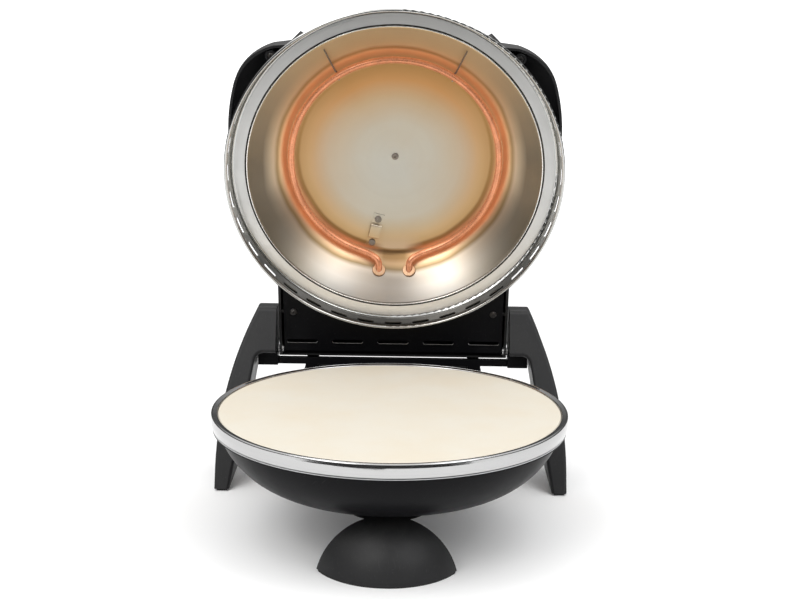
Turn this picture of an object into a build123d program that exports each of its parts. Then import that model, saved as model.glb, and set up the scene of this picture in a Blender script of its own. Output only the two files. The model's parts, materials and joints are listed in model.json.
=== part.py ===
from build123d import *
import math
import os

# Countertop pizza oven: a black pan with a baking stone, carried by a front foot and two
# swept rear legs, and a domed lid hinged between the tops of the legs.
# Origin: on the table, under the centre of the stone.  X right, Y to the hinge, Z up.
# Lid pieces are drawn closed, then turned about the hinge to the open rest position.

# ------------------------------------------------------------------ driving dimensions, mm
# Baking stone
STONE_DIAMETER = 310.0
STONE_THICKNESS = 12.0
STONE_TOP_Z = 119.0
STONE_EDGE_ROUND = 1.5
STONE_SEAT_GAP = 0.3
STONE_SIDE_GAP = 0.4

# Polished trim ring round the stone
RING_WIDTH = 6.2
RING_CREST = 1.0
RING_BAND = 12.3
RING_SHEET = 0.8
RING_GROOVE = 0.45

# Reflector pan under the stone
PAN_SHEET = 0.8
PAN_LEDGE = 16.0
PAN_DEPTH = 29.0
PAN_FLOOR_RADIUS = 116.0
PAN_BEND = 4.0

# Outer bowl
BOWL_WALL = 1.2
BOWL_FLANGE = 4.4
BOWL_BULGE = 7.5
BOWL_BASE_Z = 57.0
BOWL_BASE_RADIUS = 112.0
BOWL_BASE_ROUND = 8.0

# Front foot
FOOT_RADIUS = 68.0
FOOT_CENTRE_Y = -62.0
FOOT_TOP_RADIUS = 19.0
FOOT_BULGE = 9.5
FOOT_WALL = 2.5
FOOT_CUT_Y = -93.0
FOOT_NECK_Z = 48.0
FOOT_SCREW_SPACING = 20.0
FOOT_SCREW_LENGTH = 8.0
PAD_THICKNESS = 2.0
PAD_INSET = 2.5
FOOT_PAD_INSET = 0.8

# Rear legs
LEG_SPLAY = 57.0
LEG_FOOT_WIDTH = 15.0
LEG_TOP_WIDTH = 18.5
LEG_TOP_Z = 174.0
LEG_TOP_FALL = 8.0
LEG_UPRIGHT = 20.0
LEG_ARCH_WIDTH = 19.5
LEG_ARCH_Z = 129.0
LEG_ARCH_ROUND = 9.0
LEG_CORNER_ROUND = 6.0
LEG_FRONT_FOOT_Y = 105.0
LEG_FRONT_TOP_Y = 173.5
LEG_REAR_FOOT_Y = 186.0
LEG_REAR_TOP_Y = 230.0
LEG_REAR_BEND_Z = 110.0
LEG_WALL = 2.5
LEG_FRONT_DEPTH = 29.0
LEG_EDGE_ROUND = 3.0
VIEW_OFFSET = 0.01
VIEW_DEPTH = 320.0
LEG_SCREW_OFFSETS = ((9.5, 152.0), (46.5, 38.0))
LEG_SCREW_SEAT = 14.0
LEG_SCREW_LENGTH = 24.0

# Hinge
HINGE_Y = 196.0
HINGE_Z = 125.0
OPEN_ANGLE = 76.0
PIN_DIAMETER = 8.0
PIN_CLEARANCE = 0.05
BUSH_WALL = 2.0
YOKE_EYE_RADIUS = 9.5
YOKE_BEAM_DEPTH = 7.0
YOKE_BEAM_HEIGHT = 6.7
YOKE_BEAM_BOTTOM_Z = 109.5
HINGE_SIDE_GAP = 1.5

# Bracket and connection box behind the bowl
BRACKET_HALF_WIDTH = 92.0
BRACKET_SHEET = 2.5
BRACKET_TOP_Z = 104.5
BRACKET_SCREW_Z = 92.0
BRACKET_SCREW_ANGLE = 27.0
TAB_INNER_X = 56.0
TAB_OUTER_X = 80.0
TAB_REAR_Y = 148.0
TAB_DROP = 20.0
STOP_X = 84.0
STOP_WIDTH = 12.0
STOP_Y = 212.0
STOP_PAD = 3.0
BRACKET_SCREW_LENGTH = 14.0
BOX_HALF_WIDTH = 50.0
BOX_BOTTOM_Z = 66.0
BOX_REAR_Y = 220.0
BOX_WALL = 2.5
BOX_CORNER = 6.0
BOX_SCREW_INSET = 8.0
BOX_SCREW_LENGTH = 8.0
BOX_POST_DEPTH = 14.0
BOX_POST_HEIGHT = 10.0
BOX_POST_SIDE = 4.0
BOX_INTO_BOWL = 10.0
INLET_DIAMETER = 9.0
GLAND_WALL = 2.0
GLAND_COLLAR = 4.0
GLAND_LIP = 2.0
GLAND_STANDOUT = 3.0

# Terminal block and leads
BLOCK_WAYS = 4
BLOCK_PITCH = 12.0
BLOCK_HEIGHT = 12.0
BLOCK_DEPTH = 18.0
BLOCK_Y = 185.0
WELL_RADIUS = 2.6
WELL_DEPTH = 7.0
LEAD_DIAMETER = 2.8
LEAD_BEND = 3.0
LEAD_STUB = 4.0
LEAD_HOLE_RADIUS = 8.0
LID_LEAD_BEND = 6.0

# Lid, heights measured up from the lip plane of the closed lid
LIP_Z = 113.0
LIP_FLARE = 6.0
LIP_BEAD_RADIUS = 1.6
SKIRT_TOP_RADIUS = 160.3
SKIRT_CORNER = 1.8
SKIRT_SHEET = 0.8
SKIRT_SEAT_WIDTH = 7.0
VENT_COUNT = 36
VENT_LENGTH = 17.4
VENT_HEIGHT = 3.4
VENT_RISE = 8.4
FLANGE_RISE = 17.0
FLANGE_WIDTH = 15.5
DISH_LIP = 8.0
DISH_WALL_RUN = 40.8
DISH_FLOOR_RISE = 55.0
DISH_CENTRE_RISE = 60.0
DISH_SHEET = 0.8
DISH_MOUTH_ROUND = 2.5
DISH_FLOOR_ROUND = 10.0
DISH_FLAT_RADIUS = 10.0
DISH_FLAT_ROUND = 40.0
DOME_SETBACK = 1.9
DOME_TOP_RISE = 82.0
DOME_WALL = 1.2
WINDOW_WIDTH = 60.0
WINDOW_HEIGHT = 16.0
WINDOW_FRONT_Y = 118.0
WINDOW_REAR_Y = 168.0

# Heating elements
TUBE_DIAMETER = 6.6
UPPER_RING_OUTSET = 0.3
LOWER_RING_INSET = 11.7
ELEMENT_LEAVE_X = 38.0
ELEMENT_END_X = 15.6
ELEMENT_END_Y = 112.0
ELEMENT_SWING = 16.0
ELEMENT_STRAIGHTEN = 8.0
UPPER_ELEMENT_RISE = 46.5
UPPER_TERMINAL_RISE = 41.0
LOWER_ELEMENT_HEIGHT = 10.0
BUSHING_FLANGE_RADIUS = 6.7
BUSHING_NECK_RADIUS = 5.6
BUSHING_LENGTH = 4.0
BUSHING_HEAD = 1.8
ELEMENT_TAIL = 14.5
TERMINAL_LENGTH = 9.0
CLIP_ANGLE = 33.0
CLIP_SKEW = 14.6
CLIP_WIRE = 1.6
CLIP_BEND = 3.4
CLIP_TIP = 0.5
CLIP_START_RISE = 4.0
CLIP_REACH = 35.0
SADDLE_COUNT = 3
SADDLE_WIDTH = 7.0
SADDLE_SHEET = 1.0
SADDLE_TAB = 10.0
SADDLE_MOUTH = 1.2
RIVET_LENGTH = 2.0

# Hinge housing at the back of the lid
HOUSING_HALF_WIDTH = 117.5
HOUSING_WALL = 2.5
HOUSING_FRONT_Y = 95.0
HOUSING_BOTTOM_Z = 121.5
HOUSING_TOP_Z = 168.0
HOUSING_REAR_TOP_Y = 222.0
HOUSING_KNUCKLE_RADIUS = 7.0
HOUSING_SIDE_ROUND = 30.0
HOUSING_REAR_ROUND = 12.0
PLATE_SIDE_GAP = 2.5
PLATE_SHEET = 1.0
PLATE_RISE = 1.5
PLATE_BEND = 4.0
PLATE_UPSTAND = 16.0
PLATE_SCREW_INSET = 10.0
PLATE_SCREW_OVERLAP = 14.0
PLATE_SCREW_LENGTH = 12.0
PLATE_POST_HEIGHT = 14.0
PLATE_RIB = 3.0
LOUVRE_COUNT = 5
LOUVRE_PITCH = 47.0
LOUVRE_LENGTH = 31.5
LOUVRE_WIDTH = 4.0
LOUVRE_SETBACK = 10.0
LOUVRE_LIP = 1.0

# Handle bow round the front of the lid
BOW_BOTTOM_RISE = 30.0
BOW_EDGE_RISE = 39.0
BOW_CREST_RISE = 60.0
BOW_WALL = 2.5
BOW_EDGE_RADIUS = 178.0
BOW_CREST_RADIUS = 128.0
EAR_BACK = (164.0, -34.0)
EAR_REAR_MIDDLE = (162.3, -57.0)
EAR_WIDE = (157.5, -81.0)
EAR_MIDDLE = (145.0, -105.0)
EAR_FRONT = (117.0, -121.8)
EAR_FLAT_END = (101.0, -122.8)
VISOR_TIP = (92.0, -132.0)
VISOR_ROOT = (88.0, -129.0)
VISOR_REACH = 150.0
EAR_BOSS = (120.0, -111.0)
BOSS_RADIUS = 5.5
BOSS_SCREW_DEPTH = 3.5
HANDLE_SCREW_LENGTH = 8.0

# Controls on top of the hinge housing
KNOB_X = 55.0
KNOB_Y = 172.0
KNOB_DIAMETER = 36.0
KNOB_HEIGHT = 15.0
KNOB_FLUTES = 24
KNOB_FLUTE_RADIUS = 1.3
KNOB_FLUTE_OUTSET = 0.4
KNOB_SKIRT = 2.5
KNOB_EDGE_ROUND = 2.5
DIAL_DIAMETER = 54.0
DIAL_THICKNESS = 1.0
KNOB_GAP = 0.6
SHAFT_DIAMETER = 6.0
SHAFT_CLEARANCE = 0.05
SHAFT_DEPTH = 14.0
SHAFT_HOLE_GAP = 1.0
LAMP_DIAMETER = 9.0
LAMP_HEIGHT = 2.0
LAMP_ROUND = 1.2
LAMP_SEAT = 1.0
LAMP_STEM = 10.0
CONTROL_SIZE = 38.0
CONTROL_DEPTH = 18.0
CONTROL_BORE = 15.0
CONTROL_CORNER = 4.0
BELL_RADIUS = 15.0
BELL_DEPTH = 7.0
BELL_SHEET = 1.0
BELL_DRAFT = 1.0

# Heat sensor behind the dish
SENSOR_PLACE = (-20.0, 80.0)
SENSOR_SCREW_REACH = 13.0
SENSOR_BAND = 11.0
SENSOR_SHEET = 0.8
SENSOR_STEP = 4.0
SENSOR_HEIGHT = 9.0
SENSOR_CAP = 4.0
SENSOR_ROUND = 2.5
SENSOR_END = 4.5
SENSOR_SCREW_LENGTH = 9.0

# Screws
CENTRE_SCREW_LENGTH = 12.0
SCREW_DIAMETER = 3.5
SCREW_HEAD_DIAMETER = 7.0
SCREW_HEAD_HEIGHT = 2.2

# General fits
FIT = 0.2
TOUCH = 0.02
CUT = 1.0

# ------------------------------------------------------------------ derived places
STONE_RADIUS = STONE_DIAMETER / 2
STONE_BOTTOM_Z = STONE_TOP_Z - STONE_THICKNESS
PAN_RIM_Z = STONE_BOTTOM_Z - STONE_SEAT_GAP
PAN_FLOOR_Z = PAN_RIM_Z - PAN_DEPTH
PAN_LEDGE_RADIUS = STONE_RADIUS - PAN_LEDGE
RING_INNER_RADIUS = STONE_RADIUS + STONE_SIDE_GAP
RING_OUTER_RADIUS = RING_INNER_RADIUS + RING_WIDTH
RING_TOP_Z = STONE_TOP_Z + RING_CREST
RIM_RADIUS = RING_OUTER_RADIUS - RING_SHEET - 2 * FIT - RING_GROOVE
BOWL_TOP_Z = PAN_RIM_Z - PAN_SHEET
BOWL_MOUTH_RADIUS = RIM_RADIUS - BOWL_FLANGE
TUBE_RADIUS = TUBE_DIAMETER / 2
LIP_RADIUS = SKIRT_TOP_RADIUS + LIP_FLARE
SKIRT_SEAT_RADIUS = SKIRT_TOP_RADIUS - SKIRT_SEAT_WIDTH
DOME_RADIUS = SKIRT_TOP_RADIUS - DOME_SETBACK
DISH_MOUTH_RADIUS = SKIRT_TOP_RADIUS - FLANGE_WIDTH
DISH_FLOOR_RADIUS = DISH_MOUTH_RADIUS - DISH_WALL_RUN
UPPER_RING_RADIUS = DISH_FLOOR_RADIUS + UPPER_RING_OUTSET
LOWER_RING_RADIUS = PAN_FLOOR_RADIUS - LOWER_RING_INSET
LOWER_ELEMENT_Z = PAN_FLOOR_Z + LOWER_ELEMENT_HEIGHT
UPPER_ELEMENT_Z = LIP_Z + UPPER_ELEMENT_RISE
UPPER_TERMINAL_Z = LIP_Z + UPPER_TERMINAL_RISE
FLANGE_Z = LIP_Z + FLANGE_RISE
SEAT_Z = FLANGE_Z + DISH_SHEET
DOME_BASE_Z = SEAT_Z + SKIRT_SHEET
DISH_FLOOR_Z = LIP_Z + DISH_FLOOR_RISE
DISH_CENTRE_Z = LIP_Z + DISH_CENTRE_RISE
PLATE_Z = HOUSING_BOTTOM_Z + PLATE_RISE
HOUSING_REAR_Y = HINGE_Y + HOUSING_KNUCKLE_RADIUS
PIN_RADIUS = PIN_DIAMETER / 2
PLATE_HALF_WIDTH = HOUSING_HALF_WIDTH - HOUSING_WALL - PLATE_SIDE_GAP
PIN_START_X = PLATE_HALF_WIDTH + CUT
YOKE_INNER_X = HOUSING_HALF_WIDTH + HINGE_SIDE_GAP
LEG_INNER_X = YOKE_INNER_X
LEG_ARCH_X = LEG_INNER_X + LEG_ARCH_WIDTH
LEG_TOP_X = LEG_INNER_X + LEG_TOP_WIDTH
LEG_FOOT_X = LEG_INNER_X + LEG_SPLAY
LEG_RAKE = (LEG_FRONT_TOP_Y - LEG_FRONT_FOOT_Y) / (LEG_TOP_Z - PAD_THICKNESS)
YOKE_OUTER_X = LEG_ARCH_X + 1.0
BRACKET_BOTTOM_Z = BRACKET_TOP_Z - BRACKET_SHEET
BOX_CENTRE_Z = (BOX_BOTTOM_Z + BRACKET_BOTTOM_Z) / 2
BLOCK_FLOOR_Z = BOX_BOTTOM_Z + BOX_WALL
BLOCK_TOP_Z = BLOCK_FLOOR_Z + BLOCK_HEIGHT
CONTROL_TOP_Z = HOUSING_TOP_Z - HOUSING_WALL
KNOB_BASE_Z = HOUSING_TOP_Z + DIAL_THICKNESS + KNOB_GAP
ELEMENT_TAIL_Y = ELEMENT_END_Y + ELEMENT_TAIL
LEAD_START_Y = ELEMENT_TAIL_Y + TERMINAL_LENGTH
HINGE_AXIS = Axis((0, HINGE_Y, HINGE_Z), (1, 0, 0))
SIDES = (-1, 1)


# ------------------------------------------------------------------ helpers
def turned(points):
    """Solid of revolution about Z of a closed outline of (radius, height) points."""
    outline = Polyline(*[(r, 0, z) for r, z in points], close=True)
    return revolve(make_face(outline), Axis.Z, 360)


def turned_sheet(points, radii, wall, side):
    """Sheet of revolution about Z along a path of (radius, height) points."""
    path = FilletPolyline(*[(r, 0, z) for r, z in points], radius=radii)
    strip = Wire(path.edges()).offset_2d(wall, side=side)
    return revolve(make_face(strip.edges()), Axis.Z, 360)


def pressed_sheet(points, radii, wall, side, half_width):
    """Folded sheet, a path of (y, z) points extruded both ways along X."""
    path = FilletPolyline(*[(0, y, z) for y, z in points], radius=radii)
    strip = Wire(path.edges()).offset_2d(wall, side=side)
    return extrude(make_face(strip.edges()), half_width, dir=(1, 0, 0), both=True)


def rod(start, end, radius):
    """Round bar between two points."""
    path = Line(start, end)
    return extrude(Plane(start, z_dir=path % 0) * Circle(radius), path.length)


def box_between(low, high):
    """Box between two corners."""
    size = [b - a for a, b in zip(low, high)]
    centre = [(a + b) / 2 for a, b in zip(low, high)]
    return Pos(*centre) * Box(*size)


def screw(head_at, direction, length):
    """Pan-head screw, its shank running from the underside of the head."""
    along = Vector(*direction).normalized()
    seat = Plane(head_at, z_dir=tuple(along))
    shank = extrude(seat * Circle(SCREW_DIAMETER / 2), length)
    head = extrude(seat * Circle(SCREW_HEAD_DIAMETER / 2), -SCREW_HEAD_HEIGHT)
    rim = head.edges().sort_by(Axis(head_at, tuple(along)))[0]
    return shank + fillet(rim, SCREW_HEAD_HEIGHT / 2)


def screw_hole(head_at, direction, length):
    """Clearance hole for a screw, through what the screw holds."""
    along = Vector(*direction).normalized()
    start = Vector(*head_at) - along * length
    return rod(tuple(start), tuple(Vector(*head_at) + along * length), SCREW_DIAMETER / 2 + FIT)


def mirrored_pair(right):
    """A right-hand piece and its left-hand twin."""
    return [right, mirror(right, Plane.YZ)]


def ring_tube(radius, height, terminal_height):
    """Heating tube: an open ring whose ends swing to the rear and run out through the wall."""
    leave = (ELEMENT_LEAVE_X, math.sqrt(radius**2 - ELEMENT_LEAVE_X**2))
    end = Vector(ELEMENT_END_X, ELEMENT_END_Y, terminal_height)
    right = [
        Vector(leave[0], leave[1], height),
        Vector(leave[0], leave[1], height)
        + Vector(-leave[1], leave[0], 0).normalized() * ELEMENT_SWING,
        end - Vector(0, ELEMENT_STRAIGHTEN, 0),
        end,
    ]
    left = [Vector(-p.X, p.Y, p.Z) for p in right]
    ring = ThreePointArc(right[0], (0, -radius, height), left[0])
    tail = Vector(ELEMENT_END_X, ELEMENT_TAIL_Y, terminal_height)
    left_tail = Vector(-ELEMENT_END_X, ELEMENT_TAIL_Y, terminal_height)
    runs = [
        Line(tail, end),
        Bezier(*reversed(right)),
        ring,
        Bezier(*left),
        Line(left[-1], left_tail),
    ]
    section = Plane(tail, z_dir=(0, -1, 0)) * Circle(TUBE_RADIUS)
    return sweep(section, Wire([run.edge() for run in runs]))


def upper_element():
    return ring_tube(UPPER_RING_RADIUS, UPPER_ELEMENT_Z, UPPER_TERMINAL_Z)


def lower_element():
    return ring_tube(LOWER_RING_RADIUS, LOWER_ELEMENT_Z, LOWER_ELEMENT_Z)


def terminal_pins(height):
    """Two thin terminals on the ends of a heating tube."""
    pins = []
    for side in SIDES:
        x = side * ELEMENT_END_X
        start = (x, ELEMENT_TAIL_Y, height)
        pins.append(rod(start, (x, LEAD_START_Y, height), TUBE_RADIUS / 2))
    return pins


def bushing_plane(x, y, z, tilt):
    """Plane square to a sloping round wall; tilt lifts its axis from the rear."""
    out = math.hypot(x, y)
    level = math.cos(math.radians(tilt))
    return Plane((x, y, z), z_dir=(level * x / out, level * y / out, math.sin(math.radians(tilt))))


def bushing_hole(x, y, z, tilt):
    seat = bushing_plane(x, y, z, tilt)
    return extrude(seat * Circle(BUSHING_NECK_RADIUS + FIT), BUSHING_LENGTH, both=True)


def wall_bushing(x, y, z, tilt):
    """Flanged collar through a sloping wall, bored for the tube that runs along Y."""
    seat = bushing_plane(x, y, z, tilt)
    neck = extrude(seat * Circle(BUSHING_NECK_RADIUS), BUSHING_LENGTH)
    head = Plane(seat.origin - seat.z_dir * FIT, z_dir=seat.z_dir)
    neck += extrude(head * Circle(BUSHING_NECK_RADIUS), FIT)
    flange = extrude(head * Circle(BUSHING_FLANGE_RADIUS), -BUSHING_HEAD)
    rim = flange.edges().group_by(Axis(tuple(head.origin), tuple(head.z_dir)))[0]
    flange = fillet(rim, BUSHING_HEAD / 2)
    reach = 2 * BUSHING_FLANGE_RADIUS
    return neck + flange - rod((x, y - reach, z), (x, y + reach, z), TUBE_RADIUS + 2 * TOUCH)


def save(name, shape):
    """Write one sub-part."""
    pieces = shape if isinstance(shape, list) else [shape]
    solids = [s for piece in pieces for s in piece.solids()]
    whole = solids[0] if len(solids) == 1 else Compound(solids)
    whole.label = name
    export_step(whole, os.path.join("parts", name + ".step"))


def opened(shape):
    """Turn a closed-lid piece back about the hinge to the open position."""
    pieces = shape if isinstance(shape, list) else [shape]
    return [piece.rotate(HINGE_AXIS, -OPEN_ANGLE) for piece in pieces]


# ------------------------------------------------------------------ base
def pizza_stone():
    slab = Pos(0, 0, (STONE_TOP_Z + STONE_BOTTOM_Z) / 2) * Cylinder(STONE_RADIUS, STONE_THICKNESS)
    return fillet(slab.edges(), STONE_EDGE_ROUND)


def trim_ring():
    top = RING_TOP_Z
    path = [
        (RING_INNER_RADIUS, PAN_RIM_Z),
        (RING_INNER_RADIUS, top - 0.7),
        (RING_OUTER_RADIUS - 0.5, top),
        (RING_OUTER_RADIUS, top - RING_BAND / 2),
        (RING_OUTER_RADIUS - 1.1, top - RING_BAND),
    ]
    ring = turned_sheet(path, [1.0, 1.3, 20.0], RING_SHEET, Side.RIGHT)
    groove_at = RING_OUTER_RADIUS - 1.9
    groove = Pos(0, 0, top) * Torus(groove_at, RING_GROOVE)
    return ring - groove


def pan_path():
    return [
        (RIM_RADIUS, PAN_RIM_Z),
        (PAN_LEDGE_RADIUS, PAN_RIM_Z),
        (PAN_FLOOR_RADIUS, PAN_FLOOR_Z),
        (0, PAN_FLOOR_Z),
    ]


def pan_slope():
    """Tilt of the pan wall's outward normal below the horizontal, degrees."""
    return math.degrees(math.atan2(PAN_LEDGE_RADIUS - PAN_FLOOR_RADIUS, PAN_DEPTH))


def pan_wall_y(z):
    """Where the pan wall meets the terminal line at height z."""
    share = (z - PAN_FLOOR_Z) / PAN_DEPTH
    radius = PAN_FLOOR_RADIUS + share * (PAN_LEDGE_RADIUS - PAN_FLOOR_RADIUS)
    return math.sqrt(radius**2 - ELEMENT_END_X**2)


def reflector_pan():
    pan = turned_sheet(pan_path(), [PAN_BEND, PAN_BEND], PAN_SHEET, Side.RIGHT)
    for side in SIDES:
        y = pan_wall_y(LOWER_ELEMENT_Z)
        pan -= bushing_hole(side * ELEMENT_END_X, y, LOWER_ELEMENT_Z, -pan_slope())
    for x, y in saddle_places():
        pan -= screw_hole((x, y, PAN_FLOOR_Z), (0, 0, -1), RIVET_LENGTH)
    return pan


def bowl_side(grow=0.0):
    """Curved side of the bowl, from its mouth down to its base."""
    mouth = Vector(BOWL_MOUTH_RADIUS + grow, 0, BOWL_TOP_Z)
    base = Vector(BOWL_BASE_RADIUS + grow, 0, BOWL_BASE_Z - grow)
    across = Vector(mouth.Z - base.Z, 0, base.X - mouth.X).normalized()
    middle = (mouth + base) * 0.5 + across * BOWL_BULGE
    return ThreePointArc(mouth, middle, base)


def bowl_profile(grow=0.0):
    """Bowl filled up to its mouth, grown outwards all round."""
    side = bowl_side(grow)
    mouth = tuple(side @ 0)
    base = tuple(side @ 1)
    lines = [
        side,
        Line(base, (0, 0, base[2])),
        Line((0, 0, base[2]), (0, 0, BOWL_TOP_Z)),
        Line((0, 0, BOWL_TOP_Z), mouth),
    ]
    return revolve(make_face([line.edge() for line in lines]), Axis.Z, 360)


def foot_screw_places():
    half = FOOT_SCREW_SPACING / 2
    return [(side * half, FOOT_CENTRE_Y) for side in SIDES]


def lead_hole():
    """Round hole for the leads, level with the connection box."""
    start = (0, BOWL_BASE_RADIUS, BOX_CENTRE_Z)
    return rod(start, (0, BLOCK_Y, BOX_CENTRE_Z), LEAD_HOLE_RADIUS)


def base_bowl():
    body = bowl_profile()
    body = fillet(body.edges().sort_by(Axis.Z)[0], BOWL_BASE_ROUND)
    flange = Pos(0, 0, BOWL_TOP_Z - BOWL_WALL / 2) * Cylinder(RIM_RADIUS, BOWL_WALL)
    bowl = body + flange
    inner = bowl_profile(-BOWL_WALL)
    inner = fillet(inner.edges().sort_by(Axis.Z)[0], BOWL_BASE_ROUND - BOWL_WALL)
    bowl = bowl - inner
    for x, y in foot_screw_places():
        bowl -= screw_hole((x, y, BOWL_BASE_Z), (0, 0, -1), 2 * BOWL_WALL)
    for at, along in bracket_screw_places():
        bowl -= screw_hole(at, along, 5 * BOWL_WALL)
    return bowl - lead_hole()


def saddle_places():
    places = []
    for index in range(SADDLE_COUNT):
        angle = math.radians(-90 + index * 360 / SADDLE_COUNT)
        places.append((LOWER_RING_RADIUS * math.cos(angle), LOWER_RING_RADIUS * math.sin(angle)))
    return places


def element_saddles():
    """Sprung cradles that hold the lower tube above the pan floor."""
    reach = TUBE_RADIUS + FIT
    cradle = Circle(reach + SADDLE_SHEET) - Circle(reach)
    cradle -= Pos(0, reach) * Rectangle(SADDLE_MOUTH * reach, 2 * reach)
    drop = LOWER_ELEMENT_HEIGHT
    web = Pos(0, -(drop + reach) / 2) * Rectangle(SADDLE_SHEET, drop - reach)
    tab = Pos(0, -drop + SADDLE_SHEET / 2) * Rectangle(SADDLE_TAB, SADDLE_SHEET)
    profile = cradle + web + tab
    clip = extrude(Plane.XZ * profile, SADDLE_WIDTH / 2, both=True)
    rivet = Pos(0, 0, -drop - RIVET_LENGTH / 2) * Cylinder(SCREW_DIAMETER / 2, RIVET_LENGTH)
    saddle = Pos(LOWER_RING_RADIUS, 0, LOWER_ELEMENT_Z) * (clip + rivet)
    step = 360 / SADDLE_COUNT
    return [saddle.rotate(Axis.Z, -90 + index * step) for index in range(SADDLE_COUNT)]


def lower_bushings():
    y = pan_wall_y(LOWER_ELEMENT_Z)
    return [
        wall_bushing(side * ELEMENT_END_X, y, LOWER_ELEMENT_Z, -pan_slope()) for side in SIDES
    ]


def foot_dome(inset):
    """Filled dome of the front foot, before its rear is cut away."""
    top = (FOOT_TOP_RADIUS, 0, BOWL_BASE_Z)
    rim = (FOOT_RADIUS, 0, PAD_THICKNESS)
    chord = Line(top, rim)
    out = Vector(top[2] - rim[2], 0, rim[0] - top[0]).normalized()
    middle = (chord @ 0.5) + out * FOOT_BULGE
    lines = [
        ThreePointArc(top, tuple(middle), rim),
        Line(rim, (0, 0, rim[2])),
        Line((0, 0, rim[2]), (0, 0, top[2])),
        Line((0, 0, top[2]), top),
    ]
    dome = revolve(make_face([line.edge() for line in lines]), Axis.Z, 360)
    if inset:
        opening = dome.faces().sort_by(Axis.Z)[0]
        dome = dome - offset(dome, amount=-inset, openings=opening)
    return Pos(0, FOOT_CENTRE_Y, 0) * dome


def behind_foot(front_y, top_z):
    """Room behind the foot's upright rear wall, up to a height."""
    reach = 2 * FOOT_RADIUS
    return box_between((-reach, front_y, -CUT), (reach, front_y + 2 * reach, top_z))


def front_foot():
    """Half-dome foot with a flat rear wall, hung from a neck under the bowl."""
    outer = foot_dome(0) - behind_foot(FOOT_CUT_Y, FOOT_NECK_Z)
    inner = foot_dome(FOOT_WALL) - behind_foot(FOOT_CUT_Y - FOOT_WALL, BOWL_BASE_Z)
    foot = outer - inner
    for x, y in foot_screw_places():
        foot -= screw_hole((x, y, BOWL_BASE_Z), (0, 0, -1), FOOT_SCREW_LENGTH - BOWL_WALL)
    return foot


def front_foot_pad():
    """Rubber sole under the foot."""
    radius = FOOT_RADIUS - FOOT_PAD_INSET
    disc = Pos(0, FOOT_CENTRE_Y, PAD_THICKNESS / 2) * Cylinder(radius, PAD_THICKNESS)
    return disc - behind_foot(FOOT_CUT_Y - FOOT_PAD_INSET, BOWL_BASE_Z)


def front_foot_screws():
    z = BOWL_BASE_Z + BOWL_WALL
    return [screw((x, y, z), (0, 0, -1), FOOT_SCREW_LENGTH) for x, y in foot_screw_places()]


# ------------------------------------------------------------------ rear stand
def leg_front_outline(inset):
    """Front view of the right leg, drawn in X and Z."""
    foot_z = PAD_THICKNESS
    outer_foot = (LEG_FOOT_X, 0, foot_z)
    knee = (LEG_FOOT_X, 0, LEG_UPRIGHT)
    sweep_arc = TangentArc(knee, (LEG_TOP_X, 0, LEG_TOP_Z), tangent=(0, 0, 1))
    arch = [
        (LEG_TOP_X, 0, LEG_TOP_Z),
        (LEG_INNER_X, 0, LEG_TOP_Z),
        (LEG_INNER_X, 0, LEG_ARCH_Z),
        (LEG_ARCH_X, 0, LEG_ARCH_Z),
        (LEG_FOOT_X - LEG_FOOT_WIDTH, 0, foot_z),
        outer_foot,
        knee,
    ]
    edges = [sweep_arc.edge()] + [Line(a, b).edge() for a, b in zip(arch, arch[1:])]
    face = make_face(edges)
    top_corner = [v for v in face.vertices() if v.Z > LEG_TOP_Z - 1 and v.X > LEG_INNER_X + 1]
    face = fillet(top_corner, LEG_CORNER_ROUND)
    arch_corner = [
        v for v in face.vertices() if abs(v.Z - LEG_ARCH_Z) < 1 and v.X > LEG_INNER_X + 1
    ]
    face = fillet(arch_corner, LEG_ARCH_ROUND)
    return offset(face, -inset) if inset else face


def leg_side_outline(inset):
    """Side view of a leg, drawn in Y and Z."""
    foot_z = PAD_THICKNESS
    rear_arc = TangentArc(
        (0, LEG_REAR_TOP_Y, LEG_REAR_BEND_Z), (0, LEG_REAR_FOOT_Y, foot_z), tangent=(0, 0, -1)
    )
    points = [
        (0, LEG_REAR_FOOT_Y, foot_z),
        (0, LEG_FRONT_FOOT_Y, foot_z),
        (0, LEG_FRONT_TOP_Y, LEG_TOP_Z),
        (0, LEG_REAR_TOP_Y, LEG_TOP_Z - LEG_TOP_FALL),
        (0, LEG_REAR_TOP_Y, LEG_REAR_BEND_Z),
    ]
    edges = [rear_arc.edge()] + [Line(a, b).edge() for a, b in zip(points, points[1:])]
    face = make_face(edges)
    top = [v for v in face.vertices() if v.Z > LEG_TOP_Z - LEG_TOP_FALL - 1]
    face = fillet(top, LEG_CORNER_ROUND)
    return offset(face, -inset) if inset else face


def leg_body(inset):
    """Filled right leg, its front and side views crossed."""
    front = Pos(0, VIEW_DEPTH, 0) * leg_front_outline(inset)
    side = Pos(0, 0, VIEW_OFFSET) * leg_side_outline(inset)
    across = extrude(front, VIEW_DEPTH, dir=(0, -1, 0))
    return across & extrude(side, VIEW_DEPTH, dir=(1, 0, 0))


def leg_split(depth):
    """Everything in front of the raked parting plane of a leg."""
    low = -LEG_TOP_Z
    high = 2 * LEG_TOP_Z
    points = [
        (0, -VIEW_DEPTH, low),
        (0, leg_front_y(low) + depth, low),
        (0, leg_front_y(high) + depth, high),
        (0, -VIEW_DEPTH, high),
    ]
    return extrude(make_face(Polyline(*points, close=True)), VIEW_DEPTH, dir=(1, 0, 0))


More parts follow.
